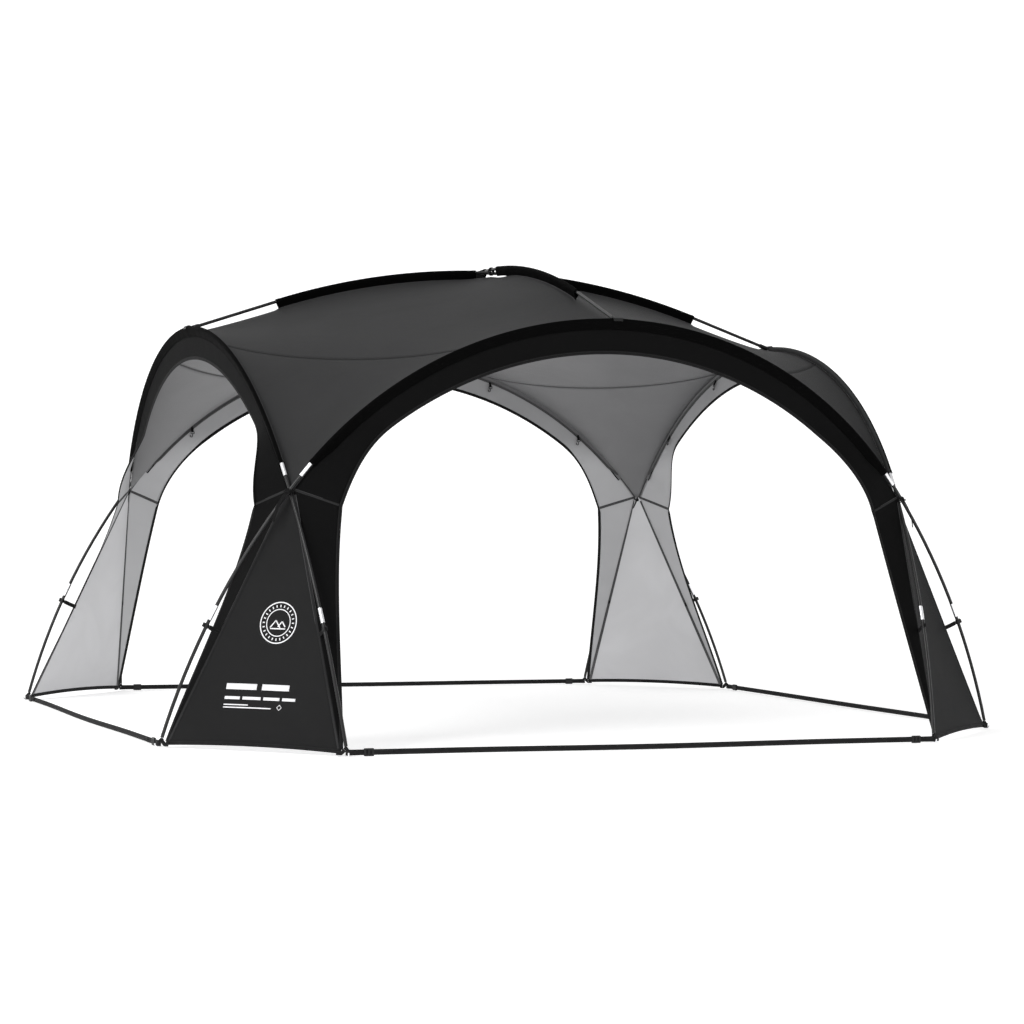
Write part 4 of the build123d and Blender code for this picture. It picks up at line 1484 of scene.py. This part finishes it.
@dataclass
class LegPrint:
    """Plain mark printed on one leg panel: a ringed dome sign over rows of bars."""

    leg: LegCloth
    ink: bpy.types.Material
    corner: int = 0
    sign_up: float = 0.545
    sign_aside: float = 0.032
    sign_radius: float = 0.092
    lift: float = 0.0004

    def ring(self, bm: bmesh.types.BMesh, x: float, y: float, outer: float, inner: float, sides: int) -> None:
        """Add a flat ring or open polygon."""
        made = bmesh.ops.create_circle(bm, cap_ends=False, radius=outer, segments=sides)["verts"]
        edges = list({edge for vert in made for edge in vert.link_edges})
        turned = bmesh.ops.extrude_edge_only(bm, edges=edges)["geom"]
        inside = [item for item in turned if isinstance(item, bmesh.types.BMVert)]
        bmesh.ops.scale(bm, vec=(inner / outer, inner / outer, 1), verts=inside)
        bmesh.ops.translate(bm, vec=(x, y, 0), verts=made + inside)

    def bar(self, bm: bmesh.types.BMesh, x: float, y: float, length: float, height: float,
            turn: float = 0.0) -> None:
        """Add a flat bar, turned about its own middle."""
        segments = max(1, round(length / 0.02))
        made = bmesh.ops.create_grid(bm, x_segments=segments, y_segments=1, size=0.5)["verts"]
        bmesh.ops.scale(bm, vec=(length, height, 1), verts=made)
        bmesh.ops.rotate(bm, cent=(0, 0, 0), matrix=Matrix.Rotation(turn, 3, "Z"), verts=made)
        bmesh.ops.translate(bm, vec=(x, y, 0), verts=made)

    def sign(self, bm: bmesh.types.BMesh) -> None:
        """Add the ringed sign: two rings, a dial of dashes and two peaks."""
        x, y, radius = self.sign_aside, self.sign_up, self.sign_radius
        self.ring(bm, x, y, radius, radius - 0.005, 64)
        self.ring(bm, x, y, radius * 0.66, radius * 0.66 - 0.004, 48)
        for step in range(24):
            angle = 2 * math.pi * step / 24
            reach = radius * 0.80
            self.bar(bm, x + reach * math.cos(angle), y + reach * math.sin(angle), 0.011, 0.005, angle)
        for peak, size in ((-0.014, 0.030), (0.018, 0.022)):
            for way in (-1, 1):
                self.bar(bm, x + peak + way * size * 0.42, y - 0.006, size * 1.35, 0.0055,
                         -way * math.radians(52))
        self.bar(bm, x, y - 0.026, 0.076, 0.005)

    def rows(self, bm: bmesh.types.BMesh) -> None:
        """Add the rows of bars under the sign."""
        left = -0.175
        layout = ((0.262, 0.026, (0.150, 0.135)), (0.212, 0.013, (0.075, 0.090, 0.080, 0.065)),
                  (0.182, 0.005, (0.120,)), (0.170, 0.005, (0.235,)))
        for height, thick, lengths in layout:
            start = left
            for length in lengths:
                self.bar(bm, start + length / 2, height, length, thick)
                start += length + thick
        self.ring(bm, 0.100, 0.176, 0.013, 0.010, 4)

    def build(self) -> bpy.types.Object:
        """Lay the print on the panel."""
        bm = bmesh.new()
        self.sign(bm)
        self.rows(bm)
        outward = self.leg.normal(self.corner)
        top, low_left = self.leg.point(self.corner, 0, 0.5), self.leg.point(self.corner, 1, 0)
        low_right = self.leg.point(self.corner, 1, 1)
        tall = top.z - (low_left.z + low_right.z) / 2
        for vert in bm.verts:
            u = 1 - vert.co.y / tall
            width = (self.leg.point(self.corner, u, 1) - self.leg.point(self.corner, u, 0)).length
            vert.co = self.leg.point(self.corner, u, 0.5 - vert.co.x / width) + outward * self.lift
        face_towards(bm, lambda at: outward)
        piece = finish_mesh(bm, "leg_print", (self.ink,))
        thicken(piece, 0.0003, two_faced=False)
        return piece


# --------------------------------------------------------------- studio, camera
@dataclass
class Studio:
    """Pale floor that turns up into a backdrop, soft lights and the camera."""

    camera_place: tuple = (-5.056, -13.239, 1.088)
    yaw: float = math.radians(21.396)
    pitch: float = math.radians(-0.145)
    roll: float = math.radians(0.661)
    lens: float = 95.72
    floor_level: float = -0.0012
    floor_half: float = 30.0
    world_strength: float = 0.66
    paper_glow: float = 0.45

    def build(self) -> None:
        """Make the stage, the lights and the camera."""
        self.backdrop()
        self.lights()
        self.camera()

    def backdrop(self) -> None:
        """Large round floor whose rim rises smoothly."""
        bm = bmesh.new()
        bmesh.ops.create_circle(bm, cap_ends=True, radius=self.floor_half, segments=96)
        rim = [edge for edge in bm.edges if edge.is_boundary]
        for step in range(1, 13):
            made = bmesh.ops.extrude_edge_only(bm, edges=rim)["geom"]
            verts = [item for item in made if isinstance(item, bmesh.types.BMVert)]
            rim = [item for item in made if isinstance(item, bmesh.types.BMEdge)]
            angle = math.pi / 2 * step / 12
            radius = self.floor_half + 12 * math.sin(angle)
            for vert in verts:
                flat = vert.co.xy.normalized() * radius
                vert.co = Vector((flat.x, flat.y, 12 * (1 - math.cos(angle))))
        bmesh.ops.translate(bm, verts=bm.verts, vec=UP * self.floor_level)
        bmesh.ops.recalc_face_normals(bm, faces=bm.faces)
        mesh = bpy.data.meshes.new("studio_floor")
        for face in bm.faces:
            face.smooth = True
        bm.to_mesh(mesh)
        bm.free()
        floor = bpy.data.objects.new("studio_floor", mesh)
        bpy.context.scene.collection.objects.link(floor)
        material = bpy.data.materials.new("studio_paper")
        material.use_nodes = True
        shader = material.node_tree.nodes["Principled BSDF"]
        shader.inputs["Base Color"].default_value = (0.93, 0.93, 0.93, 1)
        shader.inputs["Roughness"].default_value = 0.95
        shader.inputs["Specular IOR Level"].default_value = 0.0
        shader.inputs["Emission Color"].default_value = (1, 1, 1, 1)
        shader.inputs["Emission Strength"].default_value = self.paper_glow
        mesh.materials.append(material)

    def lights(self) -> None:
        """White room light with a large soft key and a weak light from behind."""
        world = bpy.data.worlds.new("studio_air")
        bpy.context.scene.world = world
        world.use_nodes = True
        bpy.context.scene.view_settings.view_transform = "Standard"
        world.node_tree.nodes["Background"].inputs["Color"].default_value = (1, 1, 1, 1)
        world.node_tree.nodes["Background"].inputs["Strength"].default_value = self.world_strength
        lamps = (("key", (-11.0, -6.0, 9.0), 6.0, 900.0), ("rim", (-4.0, 10.0, 9.0), 7.0, 120.0))
        for name, place, size, power in lamps:
            data = bpy.data.lights.new(name, "AREA")
            data.size = size
            data.energy = power
            lamp = bpy.data.objects.new(name, data)
            lamp.location = place
            lamp.rotation_euler = (Vector((0, 0, 1.0)) - Vector(place)).to_track_quat("-Z", "Y").to_euler()
            bpy.context.scene.collection.objects.link(lamp)

    def camera(self) -> None:
        """Camera at a standing visitor's waist height, well back from the front left leg."""
        data = bpy.data.cameras.new("camera")
        data.lens = self.lens
        data.sensor_width = 36.0
        data.clip_end = 200.0
        camera = bpy.data.objects.new("camera", data)
        level, rise = math.cos(self.pitch), math.sin(self.pitch)
        ahead = Vector((math.sin(self.yaw) * level, math.cos(self.yaw) * level, rise))
        right = Vector((math.cos(self.yaw), -math.sin(self.yaw), 0))
        above = right.cross(ahead)
        side = right * math.cos(self.roll) + above * math.sin(self.roll)
        top = above * math.cos(self.roll) - right * math.sin(self.roll)
        turn = Matrix((side, top, -ahead)).transposed()
        camera.matrix_world = Matrix.Translation(self.camera_place) @ turn.to_4x4()
        bpy.context.scene.collection.objects.link(camera)
        bpy.context.scene.camera = camera


def main() -> None:
    """Build the shelter's looks around its frame."""
    logging.basicConfig(level=logging.INFO, format="%(message)s")
    lines = FrameLines()
    shop = Shop()
    Studio().build()
    outside = CoatedCloth("charcoal_cloth", 0.033, 0.62, 0.01, gloss=0.06).make(shop)
    # Valances: a near-black copy of the canopy cloth, its extra darkness painted shade for the valances' angle
    # away from the light.
    valance_shaded = CoatedCloth("black_cloth", 0.0045, 0.72, 0.0, gloss=0.03).make(shop)
    # Leg panels: a darker copy of the canopy cloth, the difference painted shade for panels that face away
    # from the key light.
    leg = CoatedCloth("leg_cloth", 0.0150, 0.68, 0.0, gloss=0.05).make(shop)
    channel = CoatedCloth("channel_cloth", 0.0018, 0.75, 0.0, gloss=0.02).make(shop)
    # One silver lining made as three copies whose levels are painted light and shade: painted shade under the
    # roof (darkest), brighter on the door wings, painted light on the leg panels (brightest).
    roof_silver_painted_shade = CoatedCloth("roof_silver_painted_shade", 0.145, 0.50, 0.0, metallic=0.2, gloss=0.2).make(shop)
    door_silver = CoatedCloth("door_silver", 0.40, 0.50, 0.0, metallic=0.2, gloss=0.2).make(shop)
    leg_silver_painted_light = CoatedCloth("leg_silver_painted_light", 0.55, 0.50, 0.0, metallic=0.2, gloss=0.2).make(shop)
    webbing = Webbing("black_webbing", 0.008).make(shop)
    sewn = Webbing("sewn_webbing", 0.008, stitch_row=0.0060, stitch_level=0.05).make(shop)
    binding = Webbing("edge_binding", 0.008, ribs=600.0, stitch_row=0.0048, stitch_level=0.04).make(shop)
    tape = Webbing("seam_tape", 0.075, ribs=700.0, stitch_row=0.0040, stitch_level=0.02).make(shop)
    seam = Webbing("felled_seam", 0.022, ribs=700.0, stitch_row=0.0036, stitch_level=0.008).make(shop)
    ink = HardFinish("white_ink", 0.78, 0.60, 0.0, 1500.0, 0.00005, gloss=0.1).make(shop)
    paint = HardFinish("black_paint", 0.012, 0.30, 0.0, 240.0, 0.0002, coat=0.15).make(shop)
    alloy = HardFinish("ferrule_alloy", 0.85, 0.28, 1.0, 500.0, 0.0001).make(shop)
    zinc = HardFinish("plated_steel", 0.72, 0.25, 1.0, 300.0, 0.0001).make(shop)
    plastic = HardFinish("black_nylon", 0.010, 0.45, 0.0, 900.0, 0.0001).make(shop)
    dress = {"pole_paint": paint, "ferrule_metal": alloy, "pin_steel": zinc, "webbing": webbing,
             "tie_cord": webbing, "sleeve_cloth": channel, "canopy_cloth": outside}
    slot_of = {row["node"]: row["material_slot"] for row in frame["record"]["subparts"]}
    for name, node in frame["nodes"].items():
        node.data.materials.clear()
        node.data.materials.append(dress.get(slot_of[name], plastic))
    roof = RoofCloth(lines, outside, roof_silver_painted_shade)
    roof.build()
    door = DoorCloth(lines, valance_shaded, door_silver)
    for side in range(4):
        door.build(side)
    legs = LegCloth(lines, door, leg, leg_silver_painted_light)
    for corner in range(4):
        legs.build(corner)
    sleeve = PoleSleeve(lines, channel, outside, roof_silver_painted_shade)
    for side in range(4):
        sleeve.arch(side)
    for pair in range(2):
        sleeve.roof(pair)
    Trims(lines, roof, door, legs, binding, tape, seam).build()
    GroundWebbing(lines, legs, sewn).build()
    LegClips(lines, door, plastic, sewn).build()
    WallLoops(lines, webbing).build()
    Lashings(lines, webbing, webbing).build()
    LegPrint(legs, ink).build()


if __name__ == "__main__":
    main()
